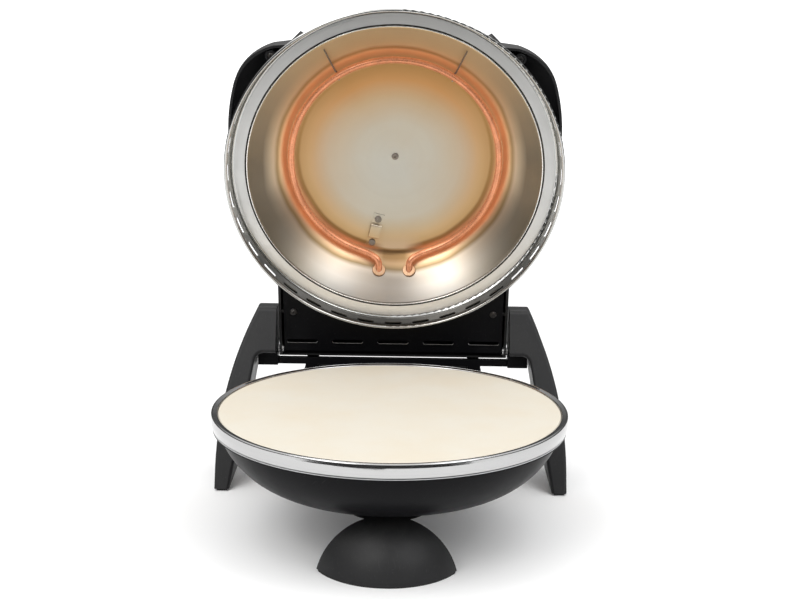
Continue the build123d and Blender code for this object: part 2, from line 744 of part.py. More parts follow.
def leg_shells():
    """Right leg as a front shell and a rear cover."""
    solid = leg_body(0)
    solid = fillet([e for e in solid.edges() if is_soft_edge(e)], LEG_EDGE_ROUND)
    hollow = solid - leg_body(LEG_WALL) + leg_posts()
    front = hollow & leg_split(LEG_FRONT_DEPTH)
    rear = hollow - leg_split(LEG_FRONT_DEPTH)
    around_eye = YOKE_EYE_RADIUS + FIT
    notch = box_between(
        (LEG_INNER_X - 1, HINGE_Y - around_eye, YOKE_BEAM_BOTTOM_Z - FIT),
        (YOKE_OUTER_X + FIT, HINGE_Y + around_eye, HINGE_Z + around_eye),
    )
    return leg_drilled(front - notch), leg_drilled(rear - notch)


def is_soft_edge(edge):
    """Whether an edge runs along the sides of the raked front face of a leg."""
    middle = edge.center()
    in_reach = PAD_THICKNESS + CUT < middle.Z < LEG_TOP_Z - LEG_CORNER_ROUND
    if not in_reach or middle.X < LEG_INNER_X + CUT:
        return False
    return all(abs(p.Y - leg_front_y(p.Z)) < FIT for p in (edge @ 0.0, edge @ 0.5, edge @ 1.0))


def leg_front_y(z):
    """Where the raked front face of a leg stands at height z."""
    return LEG_FRONT_FOOT_Y + LEG_RAKE * (z - PAD_THICKNESS)


def leg_screw_places():
    seat = LEG_FRONT_DEPTH + LEG_SCREW_SEAT
    return [(LEG_INNER_X + out, leg_front_y(z) + seat, z) for out, z in LEG_SCREW_OFFSETS]


def leg_posts():
    """Screw posts that run through a leg from its front wall to its rear wall."""
    posts = []
    for x, _, z in leg_screw_places():
        posts.append(rod((x, 0, z), (x, VIEW_DEPTH, z), BOSS_RADIUS) & leg_body(LEG_WALL / 2))
    return posts


def leg_drilled(shell):
    """Leg shell with its screw holes and the deep recesses of their heads."""
    for x, y, z in leg_screw_places():
        shell -= screw_hole((x, y, z), (0, -1, 0), LEG_SCREW_LENGTH)
        shell -= rod((x, y, z), (x, VIEW_DEPTH, z), SCREW_HEAD_DIAMETER / 2 + FIT)
    return shell


def leg_screws():
    screws = []
    for place in leg_screw_places():
        screws += mirrored_pair(screw(place, (0, -1, 0), LEG_SCREW_LENGTH))
    return screws


def leg_pads():
    width = LEG_FOOT_WIDTH - 2 * PAD_INSET
    x = LEG_FOOT_X - LEG_FOOT_WIDTH / 2
    right = box_between(
        (x - width / 2, LEG_FRONT_FOOT_Y + PAD_INSET, 0),
        (x + width / 2, LEG_REAR_FOOT_Y - PAD_INSET, PAD_THICKNESS),
    )
    return mirrored_pair(right)


def hinge_yoke():
    """Beam between the legs with an eye at each end for a hinge pin."""
    eye = Pos(HINGE_Y, HINGE_Z) * Circle(YOKE_EYE_RADIUS)
    height = HINGE_Z - YOKE_BEAM_BOTTOM_Z
    post = Pos(HINGE_Y, HINGE_Z - height / 2) * Rectangle(2 * YOKE_EYE_RADIUS, height)
    lug = extrude(Plane.YZ.offset(YOKE_INNER_X) * (eye + post), YOKE_OUTER_X - YOKE_INNER_X)
    beam = box_between(
        (-YOKE_INNER_X - 1, HINGE_Y - YOKE_BEAM_DEPTH / 2, YOKE_BEAM_BOTTOM_Z),
        (YOKE_INNER_X + 1, HINGE_Y + YOKE_BEAM_DEPTH / 2, YOKE_BEAM_BOTTOM_Z + YOKE_BEAM_HEIGHT),
    )
    yoke = beam
    for eye_lug in mirrored_pair(lug):
        yoke += eye_lug
    reach = YOKE_OUTER_X + CUT
    return yoke - rod((-reach, HINGE_Y, HINGE_Z), (reach, HINGE_Y, HINGE_Z), PIN_RADIUS + TOUCH)


def hinge_pins():
    start = (PIN_START_X, HINGE_Y, HINGE_Z)
    pin = rod(start, (YOKE_OUTER_X, HINGE_Y, HINGE_Z), PIN_RADIUS)
    return mirrored_pair(pin)


def bracket_screw_places():
    """Seats inside the bowl wall, and the way square to it through the bracket."""
    side = bowl_side()
    centre, radius = side.arc_center, side.radius
    drop = BRACKET_SCREW_Z - centre.Z
    run = math.sqrt(radius**2 - drop**2)
    outward = Vector(run / radius, 0, drop / radius)
    seat = Vector(centre.X + run, 0, BRACKET_SCREW_Z) - outward * (BOWL_WALL + FIT)
    places = []
    for turn in (90 - BRACKET_SCREW_ANGLE, 90 + BRACKET_SCREW_ANGLE):
        places.append((tuple(seat.rotate(Axis.Z, turn)), tuple(outward.rotate(Axis.Z, turn))))
    return places


def bracket_screws():
    return [screw(at, along, BRACKET_SCREW_LENGTH) for at, along in bracket_screw_places()]


def stand_bracket():
    """Plate behind the bowl that joins it to the yoke and carries the lid stops."""
    front_y = math.sqrt(BOWL_BASE_RADIUS**2 - BRACKET_HALF_WIDTH**2)
    plate = box_between(
        (-BRACKET_HALF_WIDTH, front_y, BRACKET_BOTTOM_Z),
        (BRACKET_HALF_WIDTH, STOP_Y + STOP_WIDTH / 2, BRACKET_TOP_Z),
    )
    body = plate
    for side in SIDES:
        body += box_between(
            (min(side * TAB_INNER_X, side * TAB_OUTER_X), front_y, BRACKET_BOTTOM_Z - TAB_DROP),
            (max(side * TAB_INNER_X, side * TAB_OUTER_X), TAB_REAR_Y, BRACKET_TOP_Z),
        )
        stop_x = side * STOP_X
        body += box_between(
            (stop_x - STOP_WIDTH / 2, STOP_Y - STOP_WIDTH / 2, BRACKET_BOTTOM_Z),
            (stop_x + STOP_WIDTH / 2, STOP_Y + STOP_WIDTH / 2, stop_pad_bottom()),
        )
        body += box_between(
            (stop_x - STOP_WIDTH / 2, HINGE_Y - YOKE_BEAM_DEPTH / 2, BRACKET_BOTTOM_Z),
            (stop_x + STOP_WIDTH / 2, HINGE_Y + YOKE_BEAM_DEPTH / 2, YOKE_BEAM_BOTTOM_Z),
        )
    body -= bowl_profile(FIT)
    for at, along in bracket_screw_places():
        body -= screw_hole(at, along, 2 * BRACKET_SCREW_LENGTH)
    return body


def supply_leads():
    """Two insulated leads from the lower terminals down into the terminal block."""
    leads = []
    for side in SIDES:
        x = side * BLOCK_PITCH / 2
        path = FilletPolyline(
            (side * ELEMENT_END_X, LEAD_START_Y, LOWER_ELEMENT_Z),
            (side * ELEMENT_END_X, LEAD_START_Y + LEAD_STUB, LOWER_ELEMENT_Z),
            (x, LEAD_START_Y + LEAD_STUB, BOX_CENTRE_Z),
            (x, BLOCK_Y, BOX_CENTRE_Z),
            (x, BLOCK_Y, BLOCK_TOP_Z - LEAD_STUB),
            radius=LEAD_BEND,
        )
        section = Plane(path @ 0, z_dir=path % 0) * Circle(LEAD_DIAMETER / 2)
        leads.append(sweep(section, Wire(path.edges())))
    return leads


def housing_rear_line():
    """Two points of the housing's rear wall in side view, lid open, as (y, z)."""
    angle = math.radians(-OPEN_ANGLE)
    rear = [(HOUSING_REAR_Y, HINGE_Z), (HOUSING_REAR_TOP_Y, HOUSING_TOP_Z)]
    points = []
    for y, z in rear:
        dy, dz = y - HINGE_Y, z - HINGE_Z
        points.append(
            (
                HINGE_Y + dy * math.cos(angle) - dz * math.sin(angle),
                HINGE_Z + dy * math.sin(angle) + dz * math.cos(angle),
            )
        )
    return points


def stop_pad_bottom():
    """Height of the seat of a lid stop pad under the opened housing."""
    (y0, z0), (y1, z1) = housing_rear_line()
    lowest = min(z0 + (z1 - z0) * (y - y0) / (y1 - y0) for y in stop_span())
    return lowest - STOP_PAD - FIT


def stop_span():
    return (STOP_Y - STOP_WIDTH / 2, STOP_Y + STOP_WIDTH / 2)


def lid_stop_pads():
    low = stop_pad_bottom()
    right = box_between(
        (STOP_X - STOP_WIDTH / 2, STOP_Y - STOP_WIDTH / 2, low),
        (STOP_X + STOP_WIDTH / 2, STOP_Y + STOP_WIDTH / 2, low + STOP_PAD),
    )
    return mirrored_pair(right)


def connection_box():
    """Open-backed box under the bracket for the mains terminals."""
    outer = box_between(
        (-BOX_HALF_WIDTH, BOWL_BASE_RADIUS - BOX_INTO_BOWL, BOX_BOTTOM_Z),
        (BOX_HALF_WIDTH, BOX_REAR_Y, BRACKET_BOTTOM_Z),
    )
    outer = fillet(outer.edges().filter_by(Axis.Y).sort_by(Axis.Z)[:2], BOX_CORNER)
    inner = box_between(
        (-BOX_HALF_WIDTH + BOX_WALL, BOWL_MOUTH_RADIUS + BOX_WALL, BOX_BOTTOM_Z + BOX_WALL),
        (BOX_HALF_WIDTH - BOX_WALL, BOX_REAR_Y + CUT, BRACKET_BOTTOM_Z - BOX_WALL),
    )
    box = outer - inner
    for x, y, z in cover_screw_places():
        wall_x = math.copysign(BOX_HALF_WIDTH - CUT, x)
        post = box_between(
            (min(x, wall_x) - BOX_POST_SIDE, BOX_REAR_Y - BOX_POST_DEPTH, z - BOX_POST_HEIGHT / 2),
            (max(x, wall_x), BOX_REAR_Y, z + BOX_POST_HEIGHT / 2),
        )
        box += post & outer
        box -= screw_hole((x, y, z), (0, -1, 0), BOX_SCREW_LENGTH + BOX_WALL)
    return box - bowl_profile(FIT) - lead_hole()


def connection_box_cover():
    """Rear cover of the connection box, bored for the cord bush."""
    cover = box_between(
        (-BOX_HALF_WIDTH, BOX_REAR_Y, BOX_BOTTOM_Z),
        (BOX_HALF_WIDTH, BOX_REAR_Y + BOX_WALL, BRACKET_BOTTOM_Z),
    )
    cover = fillet(cover.edges().filter_by(Axis.Y), BOX_CORNER)
    cover -= along_inlet(-CUT, BOX_WALL + CUT, INLET_DIAMETER / 2 + GLAND_WALL)
    for at in cover_screw_places():
        cover -= screw_hole(at, (0, -1, 0), 2 * BOX_WALL)
    return cover


def cover_screw_places():
    x = BOX_HALF_WIDTH - BOX_SCREW_INSET
    y = BOX_REAR_Y + BOX_WALL
    return [(side * x, y, BOX_CENTRE_Z) for side in SIDES]


def cover_screws():
    return [screw(at, (0, -1, 0), BOX_SCREW_LENGTH) for at in cover_screw_places()]


def along_inlet(start, end, radius):
    """Round bar on the cord's line, from and to distances behind the box."""
    first = (0, BOX_REAR_Y + start, BOX_CENTRE_Z)
    return rod(first, (0, BOX_REAR_Y + end, BOX_CENTRE_Z), radius)


def cord_gland():
    """Rubber bush in the cover where a supply cord would enter."""
    face = BOX_WALL + GLAND_STANDOUT
    neck = along_inlet(-GLAND_LIP, BOX_WALL, INLET_DIAMETER / 2 + GLAND_WALL - TOUCH)
    collar = along_inlet(BOX_WALL, face, INLET_DIAMETER / 2 + GLAND_COLLAR)
    return neck + collar - along_inlet(-GLAND_LIP - CUT, face + CUT, INLET_DIAMETER / 2)


def terminal_block():
    """Ceramic block with four screw terminals, on the floor of the connection box."""
    half = BLOCK_WAYS * BLOCK_PITCH / 2
    block = box_between(
        (-half, BLOCK_Y - BLOCK_DEPTH / 2, BLOCK_FLOOR_Z),
        (half, BLOCK_Y + BLOCK_DEPTH / 2, BLOCK_TOP_Z),
    )
    for index in range(BLOCK_WAYS):
        x = (index + 0.5) * BLOCK_PITCH - half
        well = Pos(x, BLOCK_Y, BLOCK_TOP_Z) * Cylinder(WELL_RADIUS, 2 * WELL_DEPTH)
        block -= well
    return block


# ------------------------------------------------------------------ lid
def rim_skirt():
    """Polished flared rim with its ring of vents and rolled lip."""
    slope_end = (LIP_RADIUS - LIP_BEAD_RADIUS, LIP_Z + LIP_BEAD_RADIUS)
    path = [(SKIRT_SEAT_RADIUS, SEAT_Z), (SKIRT_TOP_RADIUS, SEAT_Z), slope_end]
    skirt = turned_sheet(path, [SKIRT_CORNER], SKIRT_SHEET, Side.LEFT)
    bead = Pos(0, 0, LIP_Z + LIP_BEAD_RADIUS) * Torus(
        LIP_RADIUS - LIP_BEAD_RADIUS, LIP_BEAD_RADIUS
    )
    skirt += bead
    slot = SlotOverall(VENT_LENGTH, VENT_HEIGHT)
    start = Plane((0, SKIRT_SEAT_RADIUS, LIP_Z + VENT_RISE), x_dir=(1, 0, 0), z_dir=(0, 1, 0))
    cutter = extrude(start * slot, LIP_RADIUS - SKIRT_SEAT_RADIUS + CUT)
    step = 360 / VENT_COUNT
    vents = [cutter.rotate(Axis.Z, index * step) for index in range(VENT_COUNT)]
    return skirt - vents


def dish_slope():
    """Angle of the dish wall's outward normal above the horizontal, degrees."""
    return math.degrees(math.atan2(DISH_WALL_RUN, DISH_FLOOR_Z - SEAT_Z))


def dish_wall_radius(z):
    """Radius of the dish wall at height z."""
    share = (z - SEAT_Z) / (DISH_FLOOR_Z - SEAT_Z)
    return DISH_MOUTH_RADIUS - share * DISH_WALL_RUN


def dish_terminal_y():
    return math.sqrt(dish_wall_radius(UPPER_TERMINAL_Z) ** 2 - ELEMENT_END_X**2)


def flange_ring():
    """Flat brushed ring that covers the joint of the rim and the dish."""
    outer = SKIRT_TOP_RADIUS - SKIRT_CORNER - FIT
    middle = Pos(0, 0, FLANGE_Z + DISH_SHEET / 2)
    return middle * (Cylinder(outer, DISH_SHEET) - Cylinder(DISH_MOUTH_RADIUS, 2 * DISH_SHEET))


def inner_dish():
    """Reflector of the lid: narrow lip, sloping wall and shallow domed floor."""
    path = [
        (DISH_MOUTH_RADIUS + DISH_LIP, SEAT_Z),
        (DISH_MOUTH_RADIUS, SEAT_Z),
        (DISH_FLOOR_RADIUS, DISH_FLOOR_Z),
        (DISH_FLAT_RADIUS, DISH_CENTRE_Z),
        (0, DISH_CENTRE_Z),
    ]
    rounds = [DISH_MOUTH_ROUND, DISH_FLOOR_ROUND, DISH_FLAT_ROUND]
    dish = turned_sheet(path, rounds, DISH_SHEET, Side.RIGHT)
    y = dish_terminal_y()
    for side in SIDES:
        dish -= bushing_hole(side * ELEMENT_END_X, y, UPPER_TERMINAL_Z, dish_slope())
    dish -= screw_hole((0, 0, DISH_CENTRE_Z), (0, 0, 1), CENTRE_SCREW_LENGTH / 2)
    for side in SIDES:
        dish -= sensor_plane() * Pos(side * SENSOR_SCREW_REACH, 0, 0) * sensor_hole()
    return dish


def sensor_plane():
    """Plane on the underside of the dish floor: X towards the centre, Z through the sheet."""
    radius = math.hypot(*SENSOR_PLACE)
    fall = (DISH_CENTRE_Z - DISH_FLOOR_Z) / (DISH_FLOOR_RADIUS - DISH_FLAT_RADIUS)
    height = DISH_CENTRE_Z - fall * (radius - DISH_FLAT_RADIUS)
    out = (SENSOR_PLACE[0] / radius, SENSOR_PLACE[1] / radius)
    return Plane(
        (SENSOR_PLACE[0], SENSOR_PLACE[1], height),
        x_dir=(-out[0], -out[1], fall),
        z_dir=(out[0] * fall, out[1] * fall, 1),
    )


def sensor_hole():
    return Cylinder(SCREW_DIAMETER / 2 + FIT, 2 * SENSOR_STEP + CUT)


def dish_centre_screw():
    return screw((0, 0, DISH_CENTRE_Z - TOUCH), (0, 0, 1), CENTRE_SCREW_LENGTH)


def dish_post():
    """Spacer between the crown of the dome and the middle of the dish."""
    low = DISH_CENTRE_Z + DISH_SHEET
    high = LIP_Z + DOME_TOP_RISE - DOME_WALL - FIT
    post = rod((0, 0, low), (0, 0, high), BOSS_RADIUS)
    bore_top = (0, 0, low + CENTRE_SCREW_LENGTH)
    return post - rod((0, 0, low - CUT), bore_top, SCREW_DIAMETER / 2 + TOUCH)


def sensor_bracket():
    """Stepped sheet bridge screwed under the dish floor, over the heat sensor."""
    step = SENSOR_STEP
    end = SENSOR_SCREW_REACH + SENSOR_BAND / 2
    foot = SENSOR_SCREW_REACH - SENSOR_BAND / 2
    path = FilletPolyline(
        (-end, 0, 0),
        (-foot, 0, 0),
        (-foot + CUT, 0, -step),
        (foot - CUT, 0, -step),
        (foot, 0, 0),
        (end, 0, 0),
        radius=[SENSOR_SHEET] * 4,
    )
    strip = Wire(path.edges()).offset_2d(SENSOR_SHEET, side=Side.RIGHT)
    band = extrude(make_face(strip.edges()), SENSOR_BAND / 2, dir=(0, 1, 0), both=True)
    band = Pos(0, 0, -band.bounding_box().max.Z - FIT) * band
    for side in SIDES:
        band -= Pos(side * SENSOR_SCREW_REACH, 0, 0) * sensor_hole()
    return sensor_plane() * band


def sensor_bracket_screws():
    seat = -SENSOR_SHEET - FIT - TOUCH
    return [
        sensor_plane()
        * screw((side * SENSOR_SCREW_REACH, 0, seat), (0, 0, 1), SENSOR_SCREW_LENGTH)
        for side in SIDES
    ]


def heat_sensor():
    """Ceramic thermostat block behind the dish, held by the bracket's screws."""
    low = DISH_SHEET + FIT / 2
    length = 2 * (SENSOR_SCREW_REACH + SENSOR_END)
    block = Pos(0, 0, low + SENSOR_HEIGHT / 2) * Box(length, SENSOR_BAND, SENSOR_HEIGHT)
    cap_z = low + SENSOR_HEIGHT + SENSOR_CAP / 2
    cap = Pos(0, 0, cap_z) * Cylinder(SENSOR_BAND / 2 - CUT, SENSOR_CAP)
    body = fillet(block.edges().filter_by(Axis.Z), SENSOR_ROUND) + cap
    bore = Cylinder(SCREW_DIAMETER / 2 + TOUCH, 2 * SENSOR_HEIGHT + 2 * low + CUT)
    for side in SIDES:
        body -= Pos(side * SENSOR_SCREW_REACH, 0, 0) * bore
    return sensor_plane() * body


def upper_bushings():
    y = dish_terminal_y()
    return [
        wall_bushing(side * ELEMENT_END_X, y, UPPER_TERMINAL_Z, dish_slope()) for side in SIDES
    ]


def upper_element_clips():
    """Wire hooks from the mouth of the dish round the back of the upper tube."""
    around = TUBE_RADIUS + CLIP_WIRE / 2 + FIT
    points = [
        (CLIP_REACH, 0, FLANGE_Z + CLIP_START_RISE),
        (around, 0, UPPER_ELEMENT_Z - CLIP_WIRE),
        (around, 0, UPPER_ELEMENT_Z + around),
        (-around, 0, UPPER_ELEMENT_Z + around),
        (-around, 0, UPPER_ELEMENT_Z + CLIP_TIP),
    ]
    path = FilletPolyline(*points, radius=CLIP_BEND)
    section = Plane(path @ 0, z_dir=path % 0) * Circle(CLIP_WIRE / 2)
    wire = sweep(section, Wire(path.edges()))
    clips = []
    for side in SIDES:
        skewed = wire.rotate(Axis.Z, -side * CLIP_SKEW)
        hooked = Pos(UPPER_RING_RADIUS, 0, 0) * skewed
        clips.append(hooked.rotate(Axis.Z, -90 + side * CLIP_ANGLE))
    return clips


def dome_solid(grow=0.0):
    """Filled half ellipsoid of the lid's outer shell."""
    radius = DOME_RADIUS + grow
    height = DOME_TOP_RISE - (DOME_BASE_Z - LIP_Z) + grow
    edges = [
        EllipticalCenterArc((0, 0), radius, height, start_angle=0, arc_size=90).edge(),
        Line((0, height), (0, 0)).edge(),
        Line((0, 0), (radius, 0)).edge(),
    ]
    return Pos(0, 0, DOME_BASE_Z) * revolve(Plane.XZ * make_face(edges), Axis.Z, 360)


def wire_window():
    """Window for the leads in the back of the dome, inside the hinge housing."""
    half = WINDOW_WIDTH / 2
    return box_between(
        (-half, WINDOW_FRONT_Y, UPPER_TERMINAL_Z - WINDOW_HEIGHT / 2),
        (half, WINDOW_REAR_Y, UPPER_TERMINAL_Z + WINDOW_HEIGHT / 2),
    )


def lid_dome():
    return dome_solid() - dome_solid(-DOME_WALL) - wire_window()


def housing_side(inset):
    """Side view of the hinge housing, drawn in Y and Z."""
    half_step = math.sqrt(HOUSING_KNUCKLE_RADIUS**2 - (HINGE_Z - HOUSING_BOTTOM_Z) ** 2)
    knuckle_front = (0, HINGE_Y - half_step, HOUSING_BOTTOM_Z)
    rear_low = (0, HOUSING_REAR_Y, HINGE_Z)
    turn = math.radians(-60)
    bottom = (
        0,
        HINGE_Y + HOUSING_KNUCKLE_RADIUS * math.cos(turn),
        HINGE_Z + HOUSING_KNUCKLE_RADIUS * math.sin(turn),
    )
    rear_top = (0, HOUSING_REAR_TOP_Y, HOUSING_TOP_Z)
    front_top = (0, HOUSING_FRONT_Y, HOUSING_TOP_Z)
    front_low = (0, HOUSING_FRONT_Y, HOUSING_BOTTOM_Z)
    edges = [
        Line(front_low, knuckle_front).edge(),
        ThreePointArc(knuckle_front, bottom, rear_low).edge(),
        Line(rear_low, rear_top).edge(),
        Line(rear_top, front_top).edge(),
        Line(front_top, front_low).edge(),
    ]
    face = make_face(edges)
    corner = [v for v in face.vertices() if v.Y > HOUSING_REAR_TOP_Y - 1]
    face = fillet(corner, HOUSING_REAR_ROUND)
    return offset(face, -inset) if inset else face


def housing_body(inset):
    """Filled hinge housing with soft upper edges."""
    half = HOUSING_HALF_WIDTH - inset
    low = HOUSING_BOTTOM_Z - HOUSING_KNUCKLE_RADIUS
    high = HOUSING_TOP_Z - inset
    block = extrude(housing_side(inset), HOUSING_HALF_WIDTH + CUT, dir=(1, 0, 0), both=True)
    front_view = Pos(0, (low + high) / 2) * Rectangle(2 * half, high - low)
    upper = front_view.vertices().group_by(Axis.Y)[-1]
    front_view = fillet(upper, HOUSING_SIDE_ROUND - inset)
    bar = extrude(Plane.XZ * front_view, -VIEW_DEPTH)
    return block & (Pos(0, 0, VIEW_OFFSET) * bar)


def lid_keepout():
    """Space of the dome, rim and lip that the housing stays clear of."""
    height = 2 * (DOME_BASE_Z - LIP_Z)
    drum = Pos(0, 0, DOME_BASE_Z - height / 2) * Cylinder(LIP_RADIUS + FIT, height)
    return drum + dome_solid(FIT)


def control_holes():
    """Holes in the top of the housing for the two shafts and the lamp."""
    depth = 4 * HOUSING_WALL
    holes = []
    for side in SIDES:
        at = Pos(side * KNOB_X, KNOB_Y, HOUSING_TOP_Z)
        holes.append(at * Cylinder(SHAFT_DIAMETER / 2 + SHAFT_HOLE_GAP, depth))
    lamp_at = Pos(0, KNOB_Y, HOUSING_TOP_Z)
    holes.append(lamp_at * Cylinder(LAMP_DIAMETER / 2 - LAMP_SEAT, depth))
    return holes


def hinge_housing():
    """Hollow housing at the back of the lid, open to the dome and below."""
    body = housing_body(0) - housing_body(HOUSING_WALL)
    inner_x = HOUSING_HALF_WIDTH - HOUSING_WALL
    floor_cut = box_between(
        (-inner_x, HOUSING_FRONT_Y - CUT, HOUSING_BOTTOM_Z - HOUSING_KNUCKLE_RADIUS),
        (inner_x, HOUSING_REAR_Y - HOUSING_WALL, HINGE_Z + 2 * HOUSING_WALL),
    )
    front_cut = box_between(
        (-inner_x, HOUSING_FRONT_Y - CUT, HOUSING_BOTTOM_Z),
        (inner_x, HOUSING_FRONT_Y + HOUSING_WALL + CUT, HOUSING_TOP_Z - HOUSING_SIDE_ROUND),
    )
    body = body - floor_cut - front_cut - lid_keepout()
    reach = HOUSING_HALF_WIDTH + CUT
    body -= rod((-reach, HINGE_Y, HINGE_Z), (reach, HINGE_Y, HINGE_Z), PIN_RADIUS + BUSH_WALL)
    for hole in control_holes():
        body -= hole
    for place in plate_screw_places():
        body += plate_boss(place)
    body -= lid_keepout()
    for x, y in plate_screw_places():
        body -= screw_hole((x, y, PLATE_Z), (0, 0, 1), PLATE_SCREW_LENGTH + CUT)
    return body


def plate_screw_places():
    x = PLATE_HALF_WIDTH - PLATE_SCREW_INSET
    return [(side * x, LIP_RADIUS - PLATE_SCREW_OVERLAP) for side in SIDES]


def plate_boss(place):
    """Screw post, ribbed to the side wall, above the cover plate."""
    x, y = place
    wall_x = math.copysign(HOUSING_HALF_WIDTH - CUT, x)
    low = PLATE_Z + PLATE_SHEET
    middle = low + PLATE_POST_HEIGHT / 2
    post = Pos(x, y, middle) * Cylinder(BOSS_RADIUS, PLATE_POST_HEIGHT)
    rib = box_between(
        (min(x, wall_x), y - PLATE_RIB / 2, low),
        (max(x, wall_x), y + PLATE_RIB / 2, low + PLATE_POST_HEIGHT),
    )
    return post + rib


def hinge_cover_plate():
    """Folded sheet that closes the housing from below."""
    rear = HOUSING_REAR_Y - HOUSING_WALL - FIT
    path = [(HOUSING_FRONT_Y, PLATE_Z), (rear, PLATE_Z), (rear, HINGE_Z + PLATE_UPSTAND)]
    plate = pressed_sheet(path, [PLATE_BEND], PLATE_SHEET, Side.RIGHT, PLATE_HALF_WIDTH)
    return plate - Pos(0, 0, PLATE_Z) * Cylinder(LIP_RADIUS + CUT, 2 * PLATE_UPSTAND)


def louvre_places():
    middle = (LOUVRE_COUNT - 1) / 2
    y = HINGE_Y - LOUVRE_SETBACK
    return [((index - middle) * LOUVRE_PITCH, y) for index in range(LOUVRE_COUNT)]


def louvred_plate():
    """Cover plate with its pressed louvres and screw holes."""
    plate = hinge_cover_plate()
    slot = extrude(SlotOverall(LOUVRE_LENGTH, LOUVRE_WIDTH), PLATE_BEND, both=True)
    lip = extrude(Rectangle(LOUVRE_LENGTH - LOUVRE_WIDTH, LOUVRE_LIP), LOUVRE_LIP)
    lip_y = (LOUVRE_WIDTH + LOUVRE_LIP) / 2 - TOUCH
    for x, y in louvre_places():
        plate -= Pos(x, y, PLATE_Z) * slot
        plate += Pos(x, y + lip_y, PLATE_Z - LOUVRE_LIP + FIT) * lip
    for x, y in plate_screw_places():
        plate -= screw_hole((x, y, PLATE_Z), (0, 0, 1), 2 * PLATE_SHEET)
    return plate


def plate_screws():
    return [
        screw((x, y, PLATE_Z), (0, 0, 1), PLATE_SCREW_LENGTH) for x, y in plate_screw_places()
    ]


def hinge_bushes():
    """Plain bushes in the housing's side walls."""
    inner = HOUSING_HALF_WIDTH - HOUSING_WALL
    outer = HOUSING_HALF_WIDTH
    radius = PIN_RADIUS + BUSH_WALL - TOUCH
    sleeve = rod((inner, HINGE_Y, HINGE_Z), (outer, HINGE_Y, HINGE_Z), radius)
    bore = rod(
        (inner - CUT, HINGE_Y, HINGE_Z), (outer + CUT, HINGE_Y, HINGE_Z), PIN_RADIUS + PIN_CLEARANCE
    )
    return mirrored_pair(sleeve - bore)


# ------------------------------------------------------------------ handle bow
def bow_outline():
    """Plan of the bow: two ears, a pointed tip beside each, and the visor between."""
    visor_front = (0, -VISOR_REACH)
    left_root = (-VISOR_ROOT[0], VISOR_ROOT[1])
    edges = [ThreePointArc(left_root, visor_front, VISOR_ROOT).edge()]
    for side in SIDES:
        root, tip, flat_end, front, middle, wide, rear_middle, back = [
            (side * x, y)
            for x, y in (
                VISOR_ROOT,
                VISOR_TIP,
                EAR_FLAT_END,
                EAR_FRONT,
                EAR_MIDDLE,
                EAR_WIDE,
                EAR_REAR_MIDDLE,
                EAR_BACK,
            )
        ]
        edges += [
            Line(root, tip).edge(),
            Line(tip, flat_end).edge(),
            Line(flat_end, front).edge(),
            ThreePointArc(front, middle, wide).edge(),
            ThreePointArc(wide, rear_middle, back).edge(),
            Line(back, (0.0, 0.0)).edge(),
        ]
    return make_face(edges)


def bow_cap(lower):
    """Everything under the sloping top skin of the bow."""
    base_z = LIP_Z
    edge_z = LIP_Z + BOW_EDGE_RISE - lower
    crest_z = LIP_Z + BOW_CREST_RISE - lower
    outer = BOW_EDGE_RADIUS + BOW_EDGE_RISE
    return turned(
        [
            (0, base_z),
            (outer, base_z),
            (outer, edge_z),
            (BOW_EDGE_RADIUS, edge_z),
            (BOW_CREST_RADIUS, crest_z),
            (0, crest_z),
        ]
    )


def handle_bow():
    """Black moulding round the front of the lid, hollow below, with screw bosses."""
    outline = bow_outline()
    base = LIP_Z + BOW_BOTTOM_RISE
    tall = BOW_CREST_RISE - BOW_BOTTOM_RISE + CUT
    block = extrude(Pos(0, 0, base) * outline, tall) & bow_cap(0)
    hollow = Pos(0, 0, base - CUT) * offset(outline, -BOW_WALL)
    bow = block - (extrude(hollow, tall + CUT) & bow_cap(BOW_WALL))
    for side in SIDES:
        x, y = side * EAR_BOSS[0], EAR_BOSS[1]
        seat = base + BOSS_SCREW_DEPTH
        boss = rod((x, y, base + CUT), (x, y, base + tall), BOSS_RADIUS)
        bow += boss & bow_cap(BOW_WALL / 2)
        bow -= rod((x, y, base), (x, y, seat), SCREW_HEAD_DIAMETER / 2 + FIT)
        bow -= rod((x, y, base), (x, y, seat + HANDLE_SCREW_LENGTH), SCREW_DIAMETER / 2 + TOUCH)
    return bow - dome_solid(FIT)


def handle_screws():
    z = LIP_Z + BOW_BOTTOM_RISE + BOSS_SCREW_DEPTH
    return [
        screw((side * EAR_BOSS[0], EAR_BOSS[1], z), (0, 0, 1), HANDLE_SCREW_LENGTH)
        for side in SIDES
    ]


# ------------------------------------------------------------------ controls
def control_knob(side):
    """Fluted knob and its shaft."""
    body = Pos(0, 0, KNOB_BASE_Z + KNOB_HEIGHT / 2) * Cylinder(KNOB_DIAMETER / 2, KNOB_HEIGHT)
    body = fillet(body.edges().sort_by(Axis.Z)[-1], KNOB_EDGE_ROUND)
    flute_at = Pos(KNOB_DIAMETER / 2 + KNOB_FLUTE_OUTSET, 0, KNOB_BASE_Z + KNOB_HEIGHT / 2)
    flute = flute_at * Pos(0, 0, KNOB_SKIRT) * Cylinder(KNOB_FLUTE_RADIUS, KNOB_HEIGHT)
    step = 360 / KNOB_FLUTES
    body -= [flute.rotate(Axis.Z, index * step) for index in range(KNOB_FLUTES)]
    shaft_low = CONTROL_TOP_Z - SHAFT_DEPTH
    shaft = rod((0, 0, shaft_low), (0, 0, KNOB_BASE_Z + CUT), SHAFT_DIAMETER / 2)
    return Pos(side * KNOB_X, KNOB_Y, 0) * (body + shaft)


